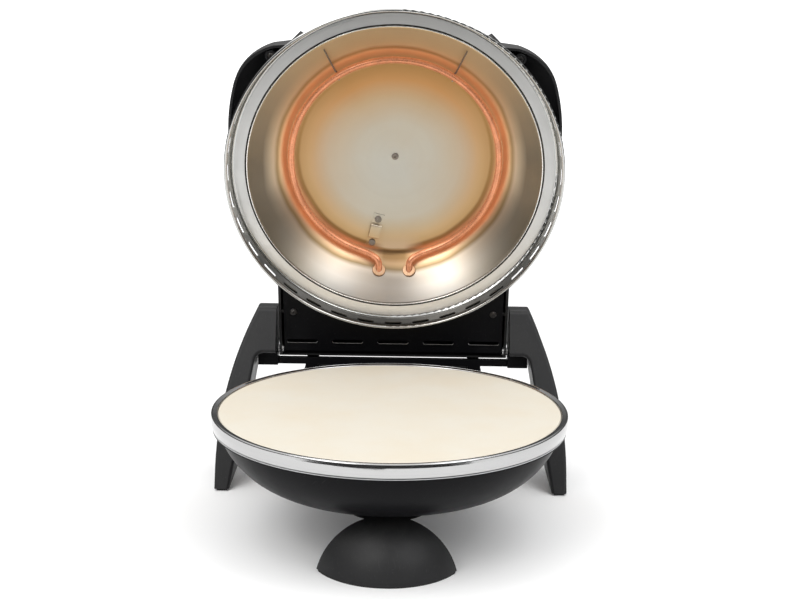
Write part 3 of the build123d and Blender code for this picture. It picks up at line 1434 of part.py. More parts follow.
def dial_plates():
    plates = []
    for side in SIDES:
        at = Pos(side * KNOB_X, KNOB_Y, HOUSING_TOP_Z + DIAL_THICKNESS / 2)
        disc = Cylinder(DIAL_DIAMETER / 2, DIAL_THICKNESS)
        hole = Cylinder(SHAFT_DIAMETER / 2 + SHAFT_HOLE_GAP, 2 * DIAL_THICKNESS)
        plates.append(at * (disc - hole))
    return plates


def shaft_bore():
    """Bore for a knob's shaft, down from the top of a control."""
    radius = SHAFT_DIAMETER / 2 + SHAFT_CLEARANCE
    return Pos(0, 0, -CONTROL_BORE / 2) * Cylinder(radius, CONTROL_BORE + TOUCH)


def thermostat_body():
    at = Pos(-KNOB_X, KNOB_Y, CONTROL_TOP_Z)
    drum = Pos(0, 0, -CONTROL_DEPTH / 2) * Cylinder(CONTROL_SIZE / 2, CONTROL_DEPTH)
    return at * (drum - shaft_bore())


def timer_body():
    at = Pos(KNOB_X, KNOB_Y, CONTROL_TOP_Z)
    case = Pos(0, 0, -CONTROL_DEPTH / 2) * Box(CONTROL_SIZE, CONTROL_SIZE, CONTROL_DEPTH)
    case = fillet(case.edges().filter_by(Axis.Z), CONTROL_CORNER)
    return at * (case - shaft_bore())


def timer_bell():
    """Bell cup under the timer."""
    top = CONTROL_TOP_Z - CONTROL_DEPTH
    shoulder = top - BELL_DEPTH / 2
    mouth = top - BELL_DEPTH
    profile = [
        (0, top),
        (BELL_RADIUS - BELL_DRAFT, shoulder),
        (BELL_RADIUS, mouth),
        (BELL_RADIUS - BELL_SHEET, mouth),
        (BELL_RADIUS - BELL_DRAFT - BELL_SHEET, shoulder - BELL_SHEET),
        (0, top - BELL_SHEET),
    ]
    return Pos(KNOB_X, KNOB_Y, 0) * turned(profile)


def lid_leads():
    """Leads from the upper terminals to the thermostat and the timer."""
    leads = []
    for side in SIDES:
        path = FilletPolyline(
            (side * ELEMENT_END_X, LEAD_START_Y, UPPER_TERMINAL_Z),
            (side * ELEMENT_END_X, KNOB_Y, UPPER_TERMINAL_Z),
            (side * (KNOB_X - CONTROL_SIZE / 2), KNOB_Y, UPPER_TERMINAL_Z),
            radius=LID_LEAD_BEND,
        )
        section = Plane(path @ 0, z_dir=path % 0) * Circle(LEAD_DIAMETER / 2)
        leads.append(sweep(section, Wire(path.edges())))
    return leads


def pilot_lamp():
    at = Pos(0, KNOB_Y, HOUSING_TOP_Z)
    lens = Pos(0, 0, LAMP_HEIGHT / 2) * Cylinder(LAMP_DIAMETER / 2, LAMP_HEIGHT)
    lens = fillet(lens.edges().sort_by(Axis.Z)[-1], LAMP_ROUND)
    stem = Pos(0, 0, -LAMP_STEM / 2) * Cylinder(LAMP_DIAMETER / 2 - LAMP_SEAT - TOUCH, LAMP_STEM)
    return at * (lens + stem)


# ------------------------------------------------------------------ write every sub-part
def build():
    os.makedirs("parts", exist_ok=True)
    save("pizza_stone", pizza_stone())
    save("trim_ring", trim_ring())
    save("reflector_pan", reflector_pan())
    save("base_bowl", base_bowl())
    save("lower_heating_element", lower_element())
    save("lower_element_terminals", terminal_pins(LOWER_ELEMENT_Z))
    save("lower_element_saddles", element_saddles())
    save("lower_element_bushings", lower_bushings())
    save("front_foot", front_foot())
    save("front_foot_pad", front_foot_pad())
    save("front_foot_screws", front_foot_screws())

    front, rear = leg_shells()
    for name, shell in (("front", front), ("cover", rear)):
        right, left = mirrored_pair(shell)
        save("right_leg_" + name, right)
        save("left_leg_" + name, left)
    save("leg_pads", leg_pads())
    save("hinge_yoke", hinge_yoke())
    save("hinge_pins", hinge_pins())
    save("stand_bracket", stand_bracket())
    save("supply_leads", supply_leads())
    save("leg_screws", leg_screws())
    save("bracket_screws", bracket_screws())
    save("lid_stop_pads", lid_stop_pads())
    save("connection_box", connection_box())
    save("connection_box_cover", connection_box_cover())
    save("connection_box_screws", cover_screws())
    save("cord_gland", cord_gland())
    save("terminal_block", terminal_block())

    save("lid_rim_skirt", opened(rim_skirt()))
    save("lid_flange_ring", opened(flange_ring()))
    save("lid_inner_dish", opened(inner_dish()))
    save("lid_dome", opened(lid_dome()))
    save("upper_heating_element", opened(upper_element()))
    save("upper_element_terminals", opened(terminal_pins(UPPER_TERMINAL_Z)))
    save("upper_element_bushings", opened(upper_bushings()))
    save("upper_element_clips", opened(upper_element_clips()))
    save("dish_centre_screw", opened(dish_centre_screw()))
    save("dish_post", opened(dish_post()))
    save("heat_sensor", opened(heat_sensor()))
    save("lid_leads", opened(lid_leads()))
    save("sensor_bracket", opened(sensor_bracket()))
    save("sensor_bracket_screws", opened(sensor_bracket_screws()))
    save("hinge_housing", opened(hinge_housing()))
    save("hinge_cover_plate", opened(louvred_plate()))
    save("cover_plate_screws", opened(plate_screws()))
    save("hinge_bushes", opened(hinge_bushes()))
    save("handle_bow", opened(handle_bow()))
    save("handle_screws", opened(handle_screws()))
    save("dial_plates", opened(dial_plates()))
    save("thermostat_body", opened(thermostat_body()))
    save("timer_body", opened(timer_body()))
    save("timer_bell", opened(timer_bell()))
    save("pilot_lamp", opened(pilot_lamp()))
    save("thermostat_knob", opened(control_knob(-1)))
    save("timer_knob", opened(control_knob(1)))


build()
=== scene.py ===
"""Looks of the countertop pizza oven: finishes, small hardware, dials, camera and light.

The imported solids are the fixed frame.  Lid pieces rest open, so anything placed on the lid is
given in closed-lid coordinates and turned back about the hinge.  Lengths are in metres.
"""

import json
import logging
import math
from dataclasses import dataclass, field
from enum import Enum
from typing import Callable, Mapping, Optional, Sequence

import bmesh
import bpy
from mathutils import Matrix, Vector

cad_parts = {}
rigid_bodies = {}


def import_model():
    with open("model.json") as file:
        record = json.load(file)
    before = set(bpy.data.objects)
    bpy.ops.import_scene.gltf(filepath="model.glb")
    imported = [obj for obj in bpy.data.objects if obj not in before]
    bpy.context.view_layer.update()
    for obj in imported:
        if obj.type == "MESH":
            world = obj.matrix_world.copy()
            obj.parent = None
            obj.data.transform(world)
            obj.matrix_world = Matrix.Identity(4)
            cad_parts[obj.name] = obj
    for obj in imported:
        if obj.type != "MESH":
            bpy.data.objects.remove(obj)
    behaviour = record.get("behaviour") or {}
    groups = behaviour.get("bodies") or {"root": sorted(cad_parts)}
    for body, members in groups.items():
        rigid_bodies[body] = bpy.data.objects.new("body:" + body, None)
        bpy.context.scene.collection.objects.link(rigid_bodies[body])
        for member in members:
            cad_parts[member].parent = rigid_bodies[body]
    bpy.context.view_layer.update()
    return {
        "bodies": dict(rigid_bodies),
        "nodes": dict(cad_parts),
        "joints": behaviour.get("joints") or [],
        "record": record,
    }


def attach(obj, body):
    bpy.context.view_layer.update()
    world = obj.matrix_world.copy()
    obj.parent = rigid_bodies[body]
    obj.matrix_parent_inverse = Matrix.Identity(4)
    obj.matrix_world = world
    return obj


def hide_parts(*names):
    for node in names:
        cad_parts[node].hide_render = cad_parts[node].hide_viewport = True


log = logging.getLogger("pizza_oven")

Colour = tuple[float, float, float]
Point = tuple[float, float, float]
Socket = bpy.types.NodeSocket
Outputs = bpy.types.bpy_prop_collection
Mesh = bmesh.types.BMesh
Loop = list[bmesh.types.BMVert]

HINGE = Vector((0.0, 0.196, 0.125))
OPEN_ANGLE = math.radians(76.0)
LID_TURN = Matrix.Rotation(-OPEN_ANGLE, 3, "X")
LIP_Z = 0.113
SHARP_EDGE = math.radians(35.0)
FORWARD: Point = (0.0, -1.0, 0.0)
UP: Point = (0.0, 0.0, 1.0)
BLACK: Colour = (0.0, 0.0, 0.0)
WHITE: Colour = (1.0, 1.0, 1.0)

# Input and output numbers of Blender's Mix node, whose sockets share their names.
MIX_SHARE, MIX_FLOAT_A, MIX_FLOAT_B, MIX_COLOUR_A, MIX_COLOUR_B = 0, 2, 3, 6, 7
MIX_FLOAT, MIX_COLOUR = 0, 2


def opened(x: float, y: float, z: float) -> Vector:
    """Turn a closed-lid point back about the hinge to the open lid."""
    return HINGE + LID_TURN @ (Vector((x, y, z)) - HINGE)


def both_sides(x: float, y: float, z: float) -> tuple[Point, Point]:
    """Give a place on the left and its mirror image on the right."""
    return (-x, y, z), (x, y, z)


def turns(count: int) -> list[float]:
    """Give the angles of evenly spaced steps round a circle."""
    return [2 * math.pi * step / count for step in range(count)]


# ------------------------------------------------------------------------------- node building
class Graph:
    """A node tree with short ways to add and join nodes."""

    def __init__(self, tree: bpy.types.NodeTree) -> None:
        """Keep the node tree to build in."""
        self.tree = tree

    def node(self, kind: str, feeds: Optional[Mapping[object, object]] = None,
             **settings: object) -> Outputs:
        """Add a node.

        Args:
            kind: Blender's node type name.
            feeds: Sockets or plain values for its inputs.
            **settings: Node properties, set before the inputs.

        Returns:
            The new node's outputs.
        """
        made = self.tree.nodes.new(kind)
        for name, value in settings.items():
            setattr(made, name, value)
        for name, value in (feeds or {}).items():
            self.feed(made.inputs[name], value)
        return made.outputs

    def feed(self, target: Socket, value: object) -> None:
        """Put a link or a plain value on a socket.

        Args:
            target: The socket to feed.
            value: A socket to link, or a number, vector or colour to store.
        """
        if isinstance(value, Socket):
            self.tree.links.new(value, target)
        elif target.type == "RGBA":
            target.default_value = (*value, 1.0)
        else:
            target.default_value = value

    def maths(self, operation: str, *values: object, clamp: bool = False) -> Socket:
        """Do arithmetic on sockets or numbers, if asked kept between 0 and 1."""
        feeds = dict(enumerate(values))
        return self.node("ShaderNodeMath", feeds, operation=operation, use_clamp=clamp)[0]

    def add(self, first: object, second: object) -> Socket:
        """Add two sockets or numbers."""
        return self.maths("ADD", first, second)

    def times(self, first: object, second: object) -> Socket:
        """Multiply two sockets or numbers."""
        return self.maths("MULTIPLY", first, second)

    def vector(self, operation: str, first: object, second: object) -> Socket:
        """Do vector arithmetic on two sockets or vectors."""
        feeds = {0: first, 1: second}
        return self.node("ShaderNodeVectorMath", feeds, operation=operation)[0]

    def noise(self, where: Socket, scale: object, detail: float = 4.0,
              rough: float = 0.5) -> Socket:
        """Sample soft noise: features per metre, octaves and weight of the finer octaves."""
        feeds = {"Vector": where, "Scale": scale, "Detail": detail, "Roughness": rough}
        return self.node("ShaderNodeTexNoise", feeds)["Fac"]

    def remap(self, value: Socket, low: float, high: float, to_low: float = 0.0,
              to_high: float = 1.0) -> Socket:
        """Stretch a value from the range low to high onto another range, clamped."""
        feeds = {"Value": value, "From Min": low, "From Max": high,
                 "To Min": to_low, "To Max": to_high}
        return self.node("ShaderNodeMapRange", feeds)["Result"]

    def window(self, value: Socket, start: float, full: float, hold: float, end: float) -> Socket:
        """Give 1 from full to hold, fading to 0 at start and end."""
        return self.times(self.remap(value, start, full), self.remap(value, hold, end, 1.0, 0.0))

    def ramp(self, value: Socket, stops: Sequence[tuple[float, Colour]]) -> Socket:
        """Turn a value into a colour.

        Args:
            value: The socket to read, from 0 to 1.
            stops: Places and colours.

        Returns:
            The colour's socket.
        """
        made = self.node("ShaderNodeValToRGB", {"Fac": value})["Color"]
        elements = made.node.color_ramp.elements
        while len(elements) < len(stops):
            elements.new(0.5)
        for element, (place, colour) in zip(elements, stops):
            element.position = place
            element.color = (*colour, 1.0)
        return made

    def mix(self, share: object, first: object, second: object) -> Socket:
        """Mix two colours or sockets by the second one's share."""
        feeds = {MIX_SHARE: share, MIX_COLOUR_A: first, MIX_COLOUR_B: second}
        return self.node("ShaderNodeMix", feeds, data_type="RGBA")[MIX_COLOUR]

    def place(self) -> Socket:
        """Give the piece's own coordinates."""
        return self.node("ShaderNodeTexCoord")["Object"]


# ------------------------------------------------------------------------------- shared effects
class Effect(Enum):
    """The shader node groups that several finishes share."""

    TURNED_PLACE = "turned_place"
    SPUN_LINES = "spun_lines"
    FINE_GRAIN = "fine_grain"
    HANDLING = "handling_marks"
    DUST = "settled_dust"


class EffectShelf:
    """The shared effects, each built once."""

    # Two families of hairline scratches: how each is turned and how far it is drawn out.
    SCRATCHES: tuple[tuple[float, float], ...] = ((0.5, 26.0), (-0.9, 34.0))

    def __init__(self) -> None:
        """Build every effect."""
        self.groups: dict[Effect, bpy.types.NodeTree] = {}
        self._turned_place()
        self._spun_lines()
        self._fine_grain()
        self._handling()
        self._dust()

    def _start(self, effect: Effect, **inputs: object) -> tuple[Graph, Outputs]:
        """Open a new group.

        Args:
            effect: Which effect it is.
            **inputs: Default of each input, a number or a vector.

        Returns:
            The graph and what its inputs give.
        """
        tree = bpy.data.node_groups.new(effect.value, "ShaderNodeTree")
        for name, value in inputs.items():
            kind = "NodeSocketVector" if isinstance(value, tuple) else "NodeSocketFloat"
            socket = tree.interface.new_socket(name, in_out="INPUT", socket_type=kind)
            socket.default_value = value
        self.groups[effect] = tree
        graph = Graph(tree)
        return graph, graph.node("NodeGroupInput")

    def _end(self, graph: Graph, **outputs: Socket) -> None:
        """Give a group its outputs.

        Args:
            graph: The group's graph.
            **outputs: What each output gives.
        """
        for name in outputs:
            graph.tree.interface.new_socket(name, in_out="OUTPUT", socket_type="NodeSocketFloat")
        graph.node("NodeGroupOutput", outputs)

    def _turned_place(self) -> None:
        """Polar place about an axis that leans back about X."""
        graph, given = self._start(Effect.TURNED_PLACE, Centre=(0.0, 0.0, 0.0), Lean=0.0)
        moved = graph.vector("SUBTRACT", graph.place(), given["Centre"])
        turned = graph.node("ShaderNodeVectorRotate", {"Vector": moved, "Angle": given["Lean"]},
                            rotation_type="X_AXIS")
        x, y, z = graph.node("ShaderNodeSeparateXYZ", {0: turned[0]})
        radius = graph.maths("SQRT", graph.add(graph.times(x, x), graph.times(y, y)))
        self._end(graph, Radius=radius, Turn=graph.maths("ARCTAN2", y, x), Height=z)

    def _spun_lines(self) -> None:
        """Fine concentric tool lines of spun or brushed sheet."""
        drift, band_share = 0.0015, 0.12
        graph, given = self._start(Effect.SPUN_LINES, Radius=0.0, Turn=0.0, Height=0.0,
                                   Fineness=1400.0)
        across = graph.node("ShaderNodeCombineXYZ", {
            "X": given["Radius"], "Y": given["Height"], "Z": graph.times(given["Turn"], drift),
        })[0]
        fine = graph.noise(across, given["Fineness"], 3.0, 0.65)
        broad = graph.noise(across, graph.times(given["Fineness"], band_share), 2.0)
        self._end(graph, Lines=fine, Bands=graph.remap(broad, 0.35, 0.65))

    def _fine_grain(self) -> None:
        """Tight grain of moulded, cast or fired surfaces."""
        graph, given = self._start(Effect.FINE_GRAIN, Size=1500.0, Pits=0.4)
        where = graph.place()
        soft = graph.noise(where, given["Size"], 3.0, 0.6)
        cells = graph.node("ShaderNodeTexVoronoi", {"Vector": where, "Scale": given["Size"]},
                           feature="F1")["Distance"]
        feeds = {MIX_SHARE: given["Pits"], MIX_FLOAT_A: soft,
                 MIX_FLOAT_B: graph.remap(cells, 0.05, 0.45)}
        weighed = graph.node("ShaderNodeMix", feeds, data_type="FLOAT")[MIX_FLOAT]
        self._end(graph, Height=weighed, Specks=graph.remap(cells, 0.0, 0.16, 1.0, 0.0))

    def _handling(self) -> None:
        """Smudges and hairline scratches from handling and wiping."""
        graph, given = self._start(Effect.HANDLING, Spread=18.0, Scratches=0.5)
        where = graph.place()
        cloud = graph.noise(where, given["Spread"], 5.0, 0.6)
        hairs = []
        for turn, stretch in self.SCRATCHES:
            feeds = {"Rotation": (turn, turn * 0.7, turn * 1.9), "Vector": where}
            spun = graph.node("ShaderNodeVectorRotate", feeds, rotation_type="EULER_XYZ")
            thin = graph.vector("MULTIPLY", spun[0], (1.0, stretch, stretch))
            hairs.append(graph.remap(graph.noise(thin, 30.0, 2.0), 0.66, 0.72))
        hairline = graph.times(graph.maths("MAXIMUM", *hairs), given["Scratches"])
        self._end(graph, Smudges=graph.remap(cloud, 0.42, 0.66), Hairlines=hairline)

    def _dust(self) -> None:
        """Faint dust that settles on faces that look up."""
        graph, given = self._start(Effect.DUST, Amount=0.3)
        normal = graph.node("ShaderNodeNewGeometry")["Normal"]
        upward = graph.remap(graph.node("ShaderNodeSeparateXYZ", {0: normal})["Z"], 0.2, 1.0)
        patches = graph.remap(graph.noise(graph.place(), 60.0, 6.0, 0.7), 0.35, 0.8)
        self._end(graph, Mask=graph.times(graph.times(upward, patches), given["Amount"]))


# ------------------------------------------------------------------------------- finishes
class Axis(Enum):
    """The two turning axes that pressed and spun pieces share: centre and lean."""

    BASE = ((0.0, 0.0, 0.0), 0.0)
    LID = (tuple(opened(0.0, 0.0, LIP_Z)), OPEN_ANGLE)


class Skin(Graph):
    """A material's graph, with its Principled shader and the shared effects."""

    def __init__(self, name: str, shelf: EffectShelf) -> None:
        """Open a new material.

        Args:
            name: The material's name.
            shelf: The shared effects.
        """
        self.material = bpy.data.materials.new(name)
        self.material.use_nodes = True
        super().__init__(self.material.node_tree)
        self.shader = self.tree.nodes["Principled BSDF"]
        self.shelf = shelf

    def put(self, effect: Effect, **values: object) -> Outputs:
        """Place a shared effect with its own values and give its outputs."""
        return self.node("ShaderNodeGroup", values, node_tree=self.shelf.groups[effect])

    def polar(self, axis: Axis) -> Outputs:
        """Place the radius, turn and height about a turning axis."""
        centre, lean = axis.value
        return self.put(Effect.TURNED_PLACE, Centre=centre, Lean=lean)

    def tool_lines(self, place: Outputs, fineness: float) -> Outputs:
        """Place tool lines and bands at a polar place, by their number per metre."""
        along = {name: place[name] for name in ("Radius", "Turn", "Height")}
        return self.put(Effect.SPUN_LINES, **along, Fineness=fineness)

    def from_hinge(self, place: Outputs) -> Socket:
        """Give the angle round the lid from its hinge side, from 0 to pi."""
        away = self.maths("ABSOLUTE", self.maths("SUBTRACT", place["Turn"], math.pi / 2))
        return self.maths("MINIMUM", away, self.maths("SUBTRACT", 2 * math.pi, away))

    def give(self, name: str, value: object) -> None:
        """Feed one of the Principled shader's inputs with a socket or a plain value."""
        self.feed(self.shader.inputs[name], value)

    def stain(self, under: object, mask: Socket, amount: float, colour: Colour) -> Socket:
        """Lay some amount of a colour over the one under it, where a mask shows."""
        return self.mix(self.times(mask, amount), under, colour)

    def grained(self, height: Socket, low: float, high: float) -> Socket:
        """Give a roughness that runs from low to high with the height of the grain."""
        return self.remap(height, 0.2, 0.8, low, high)

    def lined(self, lines: Socket, low: float, high: float) -> Socket:
        """Give a roughness that runs from low to high across the tool lines."""
        return self.remap(lines, 0.3, 0.7, low, high)

    def bump(self, height: Socket, strength: float, depth: float) -> None:
        """Raise the surface by a height, up to its full depth."""
        feeds = {"Strength": strength, "Distance": depth, "Height": height}
        self.give("Normal", self.node("ShaderNodeBump", feeds)["Normal"])


def shaded(colour: Colour, share: float) -> Colour:
    """Scale a colour."""
    return tuple(share * part for part in colour)


@dataclass(frozen=True)
class Finish:
    """A surface finish, made into one material.

    Args:
        name: The material's name.
        colour: Main colour.
        roughness: Middle roughness.
        metallic: 1 for bare metal.
    """

    name: str
    colour: Colour
    roughness: float
    metallic: float = 0.0

    def make(self, shelf: EffectShelf) -> bpy.types.Material:
        """Build the material.

        Args:
            shelf: The shared effects.

        Returns:
            The finished material.
        """
        skin = Skin(self.name, shelf)
        skin.give("Base Color", self.colour)
        skin.give("Roughness", self.roughness)
        skin.give("Metallic", self.metallic)
        self.dress(skin)
        skin.material.diffuse_color = (*self.colour, 1.0)
        return skin.material

    def dress(self, skin: Skin) -> None:
        """Add the finish's own detail."""


@dataclass(frozen=True)
class FiredStone(Finish):
    """Cream baking stone with grain, specks and baked-in marks."""

    speck: Colour = (0.36, 0.27, 0.17)
    toast: Colour = (0.62, 0.50, 0.33)

    def dress(self, skin: Skin) -> None:
        """Add grain, specks and toasted patches.

        Args:
            skin: The material.
        """
        grain = skin.put(Effect.FINE_GRAIN, Size=420.0, Pits=0.35)
        marks = skin.put(Effect.HANDLING, Spread=11.0, Scratches=0.4)
        cloud = skin.remap(skin.noise(skin.place(), 24.0, 6.0, 0.62), 0.35, 0.75, 0.0, 0.22)
        pale = skin.mix(cloud, self.colour, self.toast)
        patched = skin.stain(pale, marks["Smudges"], 0.10, self.toast)
        skin.give("Base Color", skin.stain(patched, grain["Specks"], 0.35, self.speck))
        skin.give("Roughness", skin.grained(grain["Height"], 0.72, 0.9))
        skin.bump(grain["Height"], strength=0.25, depth=0.0004)


@dataclass(frozen=True)
class PolishedSheet(Finish):
    """Polished pressed steel with faint turning lines and smudges.

    Args:
        fineness: Lines per metre.
        brushed: How much the lines change the roughness.
        banding: How much the broad bands darken the colour.
    """

    metallic: float = 1.0
    axis: Axis = Axis.LID
    fineness: float = 1500.0
    brushed: float = 0.04
    banding: float = 0.2

    def dress(self, skin: Skin) -> None:
        """Add turning lines, smudges and hairlines.

        Args:
            skin: The material.
        """
        place = skin.polar(self.axis)
        lines = skin.tool_lines(place, self.fineness)
        marks = skin.put(Effect.HANDLING, Spread=22.0, Scratches=0.35)
        streak = skin.lined(lines["Lines"], -self.brushed, self.brushed)
        rough = skin.add(skin.add(streak, self.roughness), skin.times(marks["Smudges"], 0.07))
        scratched = skin.times(marks["Hairlines"], 0.12)
        skin.give("Roughness", skin.maths("ADD", rough, scratched, clamp=True))
        tone = skin.stain(self.colour, lines["Bands"], self.banding, shaded(self.colour, 0.82))
        skin.give("Base Color", self.age(skin, place, tone))
        skin.bump(lines["Lines"], strength=0.05, depth=0.00008)

    def age(self, skin: Skin, place: Outputs, tone: Socket) -> Socket:
        """Lay painted shade or a painted highlight over the clean tone; the plain sheet keeps it as
        it is.
        """
        return tone


@dataclass(frozen=True)
class ShadedRim(PolishedSheet):
    """Polished rim whose slotted band is darkened beside the hinge with painted shade."""

    # Colour of the painted shade on the slotted band.
    painted_shade: Colour = (0.045, 0.043, 0.040)
    band_low: float = 0.0026
    band_high: float = 0.0150
    fade: float = 0.0004

    def age(self, skin: Skin, place: Outputs, tone: Socket) -> Socket:
        """Darken the slotted band beside the hinge with painted shade.

        Args:
            skin: The material.
            place: The radius, turn and height.
            tone: The clean colour.

        Returns:
            The colour with painted shade.
        """
        band = skin.window(place["Height"], self.band_low - self.fade, self.band_low + self.fade,
                           self.band_high - self.fade, self.band_high + self.fade)
        beside = skin.remap(skin.from_hinge(place), 0.55, 1.15, 0.92, 0.0)
        # Painted shade: the slotted band beside the hinge is mixed towards a dark colour.
        return skin.mix(skin.times(band, beside), tone, self.painted_shade)


@dataclass(frozen=True)
class BrushedFlange(PolishedSheet):
    """Brushed flange, lighter beside the hinge: a painted highlight."""

    painted_highlight: Colour = (0.98, 0.96, 0.93)

    def age(self, skin: Skin, place: Outputs, tone: Socket) -> Socket:
        """Lighten the flange beside the hinge with a painted highlight."""
        # Painted highlight: the flange beside the hinge is mixed towards a near-white colour.
        return skin.mix(skin.remap(skin.from_hinge(place), 0.5, 1.4, 1.0, 0.0), tone, self.painted_highlight)


@dataclass(frozen=True)
class HeatTintedDish(Finish):
    """Spun steel reflector, heat-tinted round the ring, with painted shadow lines of the tube,
    painted shade at the sides and a painted glow from the ring.

    Args:
        reach: Radius where the two ramps end.
        ring_height: The heating ring's depth behind the lip.
        gap_half_angle: Half the gap between the tube's ends.
        patches: Colour of each patch beside the tube's ends, the angles between which it
            fades, its window over the share of the reach, and its strength.
    """

    reach: float = 0.165
    amber: Colour = (0.62, 0.38, 0.16)
    # Dark colour of the tool-line bands, also used for the painted shade at the sides.
    soot_and_shade: Colour = (0.090, 0.066, 0.042)
    glow: Colour = (1.0, 0.46, 0.24)
    ring_radius: float = 0.1043
    ring_height: float = 0.0465
    gap_half_angle: float = 0.42
    # Heat tint by radius with painted light: the dark stops beside the tube's radius are painted
    # shadow lines of the tube, the peach stops beside them are painted glow.
    far_side_tint_and_light: tuple[tuple[float, Colour], ...] = (
        (0.0, (0.60, 0.60, 0.56)),
        (0.22, (0.58, 0.54, 0.46)),
        (0.37, (0.56, 0.42, 0.27)),
        (0.50, (0.54, 0.28, 0.105)),
        (0.59, (0.34, 0.19, 0.06)),
        (0.64, (0.70, 0.45, 0.22)),
        (0.70, (0.95, 0.70, 0.38)),
        (0.718, (0.48, 0.33, 0.14)),
        (0.74, (0.95, 0.72, 0.42)),
        (0.86, (0.95, 0.76, 0.48)),
    )
    # Near the tube's ends: heat tint with painted shadow lines of the tube on the floor and wall,
    # and painted glow between them.
    end_side_tint_and_light: tuple[tuple[float, Colour], ...] = (
        (0.0, (0.62, 0.62, 0.58)),
        (0.40, (0.67, 0.64, 0.57)),
        (0.53, (0.68, 0.51, 0.30)),
        (0.575, (0.60, 0.43, 0.22)),
        (0.590, (0.22, 0.145, 0.05)),
        (0.602, (0.24, 0.155, 0.055)),
        (0.620, (0.74, 0.42, 0.22)),
        (0.685, (0.80, 0.56, 0.35)),
        (0.714, (0.24, 0.17, 0.08)),
        (0.735, (0.60, 0.52, 0.43)),
        (0.80, (0.54, 0.50, 0.45)),
        (0.87, (0.30, 0.29, 0.27)),
    )
    # The second and third patches darken beside the tube's ends: painted shade.
    patches: tuple[tuple[Colour, float, float, tuple[float, ...], float], ...] = (
        ((0.70, 0.54, 0.38), 0.10, 0.32, (0.48, 0.58, 0.60, 0.615), 1.0),
        ((0.22, 0.13, 0.045), 0.10, 0.24, (0.605, 0.62, 0.66, 0.74), 0.85),
        ((0.24, 0.21, 0.18), 0.05, 0.50, (0.70, 0.76, 0.88, 0.90), 0.75),
    )

    def dress(self, skin: Skin) -> None:
        """Add tool lines, the heat tint by nearness to the ring with painted shade and shadow, and
        a painted glow from the ring.

        Args:
            skin: The material.
        """
        place = skin.polar(Axis.LID)
        lines = skin.tool_lines(place, 1300.0)
        marks = skin.put(Effect.HANDLING, Spread=16.0, Scratches=0.5)
        rear = skin.from_hinge(place)
        worn = skin.stain(self._tint(skin, place, rear), lines["Bands"], 0.02, self.soot_and_shade)
        skin.give("Base Color", skin.stain(worn, marks["Smudges"], 0.08, self.amber))
        rough = skin.add(skin.lined(lines["Lines"], -0.02, 0.03), self.roughness)
        scratched = skin.times(marks["Hairlines"], 0.1)
        skin.give("Roughness", skin.maths("ADD", rough, scratched, clamp=True))
        # Painted glow: the dish is made to give off the ring's warm light near the tube.
        skin.give("Emission Color", skin.mix(self._painted_glow_share(skin, place, rear), BLACK, self.glow))
        skin.give("Emission Strength", 0.12)
        skin.bump(lines["Lines"], strength=0.015, depth=0.0001)

    def _tint(self, skin: Skin, place: Outputs, rear: Socket) -> Socket:
        """Colour the steel by radius, warmer away from the tube's ends, with painted shadow lines
        and glow of the tube and painted shade at the sides.

        Args:
            skin: The material.
            place: The radius, turn and height.
            rear: Angle from the middle between the tube's ends.

        Returns:
            The colour's socket.
        """
        uneven = skin.maths("MULTIPLY_ADD", skin.noise(skin.place(), 14.0, 3.0), 0.006, -0.003)
        share = skin.remap(skin.add(place["Radius"], uneven), 0.0, self.reach)
        # The two ramps mix heat tint with painted shadow and glow; near the tube's ends the colour
        # is lighter and greyer.
        hot, cool = skin.ramp(share, self.far_side_tint_and_light), skin.ramp(share, self.end_side_tint_and_light)
        tint = skin.mix(skin.remap(rear, self.gap_half_angle, 2.6, 1.0, 0.0), hot, cool)
        # Painted shade: the outer wall is darkened towards the left and right.
        sideways = skin.maths("ABSOLUTE", skin.maths("COSINE", place["Turn"]))
        outer = skin.remap(share, 0.715, 0.80, 0.0, 0.85)
        tint = skin.mix(skin.times(skin.maths("POWER", sideways, 5.0), outer), tint, self.soot_and_shade)
        # Patches beside the tube's ends; the dark ones are painted shade.
        for colour, near, far, edges, strength in self.patches:
            fade = skin.remap(rear, near, far, strength, 0.0)
            tint = skin.mix(skin.times(skin.window(share, *edges), fade), tint, colour)
        return tint

    def _painted_glow_share(self, skin: Skin, place: Outputs, rear: Socket) -> Socket:
        """Give the share of the painted glow from the ring, by true distance from the tube.

        Args:
            skin: The material.
            place: The radius, turn and height.
            rear: Angle from the middle between the tube's ends.

        Returns:
            The share's socket.
        """
        across = skin.maths("SUBTRACT", place["Radius"], self.ring_radius)
        deep = skin.maths("SUBTRACT", place["Height"], self.ring_height)
        away = skin.maths("SQRT", skin.add(skin.times(across, across), skin.times(deep, deep)))
        near = skin.maths("POWER", skin.remap(away, 0.005, 0.034, 1.0, 0.0), 2.2)
        gap = skin.remap(rear, 0.1, self.gap_half_angle, 0.25, 1.0)
        return skin.maths("MULTIPLY", near, gap, clamp=True)


@dataclass(frozen=True)
class StovedEnamel(Finish):
    """Satin black stoved enamel with a soft orange-peel surface."""

    coat: float = 0.02
    sheen_level: float = 0.06

    def dress(self, skin: Skin) -> None:
        """Add orange peel, wipe marks and dust.

        Args:
            skin: The material.
        """
        marks = skin.put(Effect.HANDLING, Spread=15.0, Scratches=0.5)
        dust = skin.put(Effect.DUST, Amount=0.07)
        dusty = skin.mix(dust["Mask"], self.colour, (0.30, 0.29, 0.27))
        skin.give("Base Color", skin.stain(dusty, marks["Hairlines"], 0.06, (0.25, 0.25, 0.25)))
        rough = skin.maths("MULTIPLY_ADD", marks["Smudges"], 0.10, self.roughness)
        skin.give("Roughness", skin.add(rough, skin.times(marks["Hairlines"], 0.15)))
        skin.give("Specular IOR Level", self.sheen_level)
        skin.give("Coat Weight", self.coat)
        skin.give("Coat Roughness", 0.18)
        skin.bump(skin.noise(skin.place(), 420.0, 2.0, 0.4), strength=0.12, depth=0.0002)


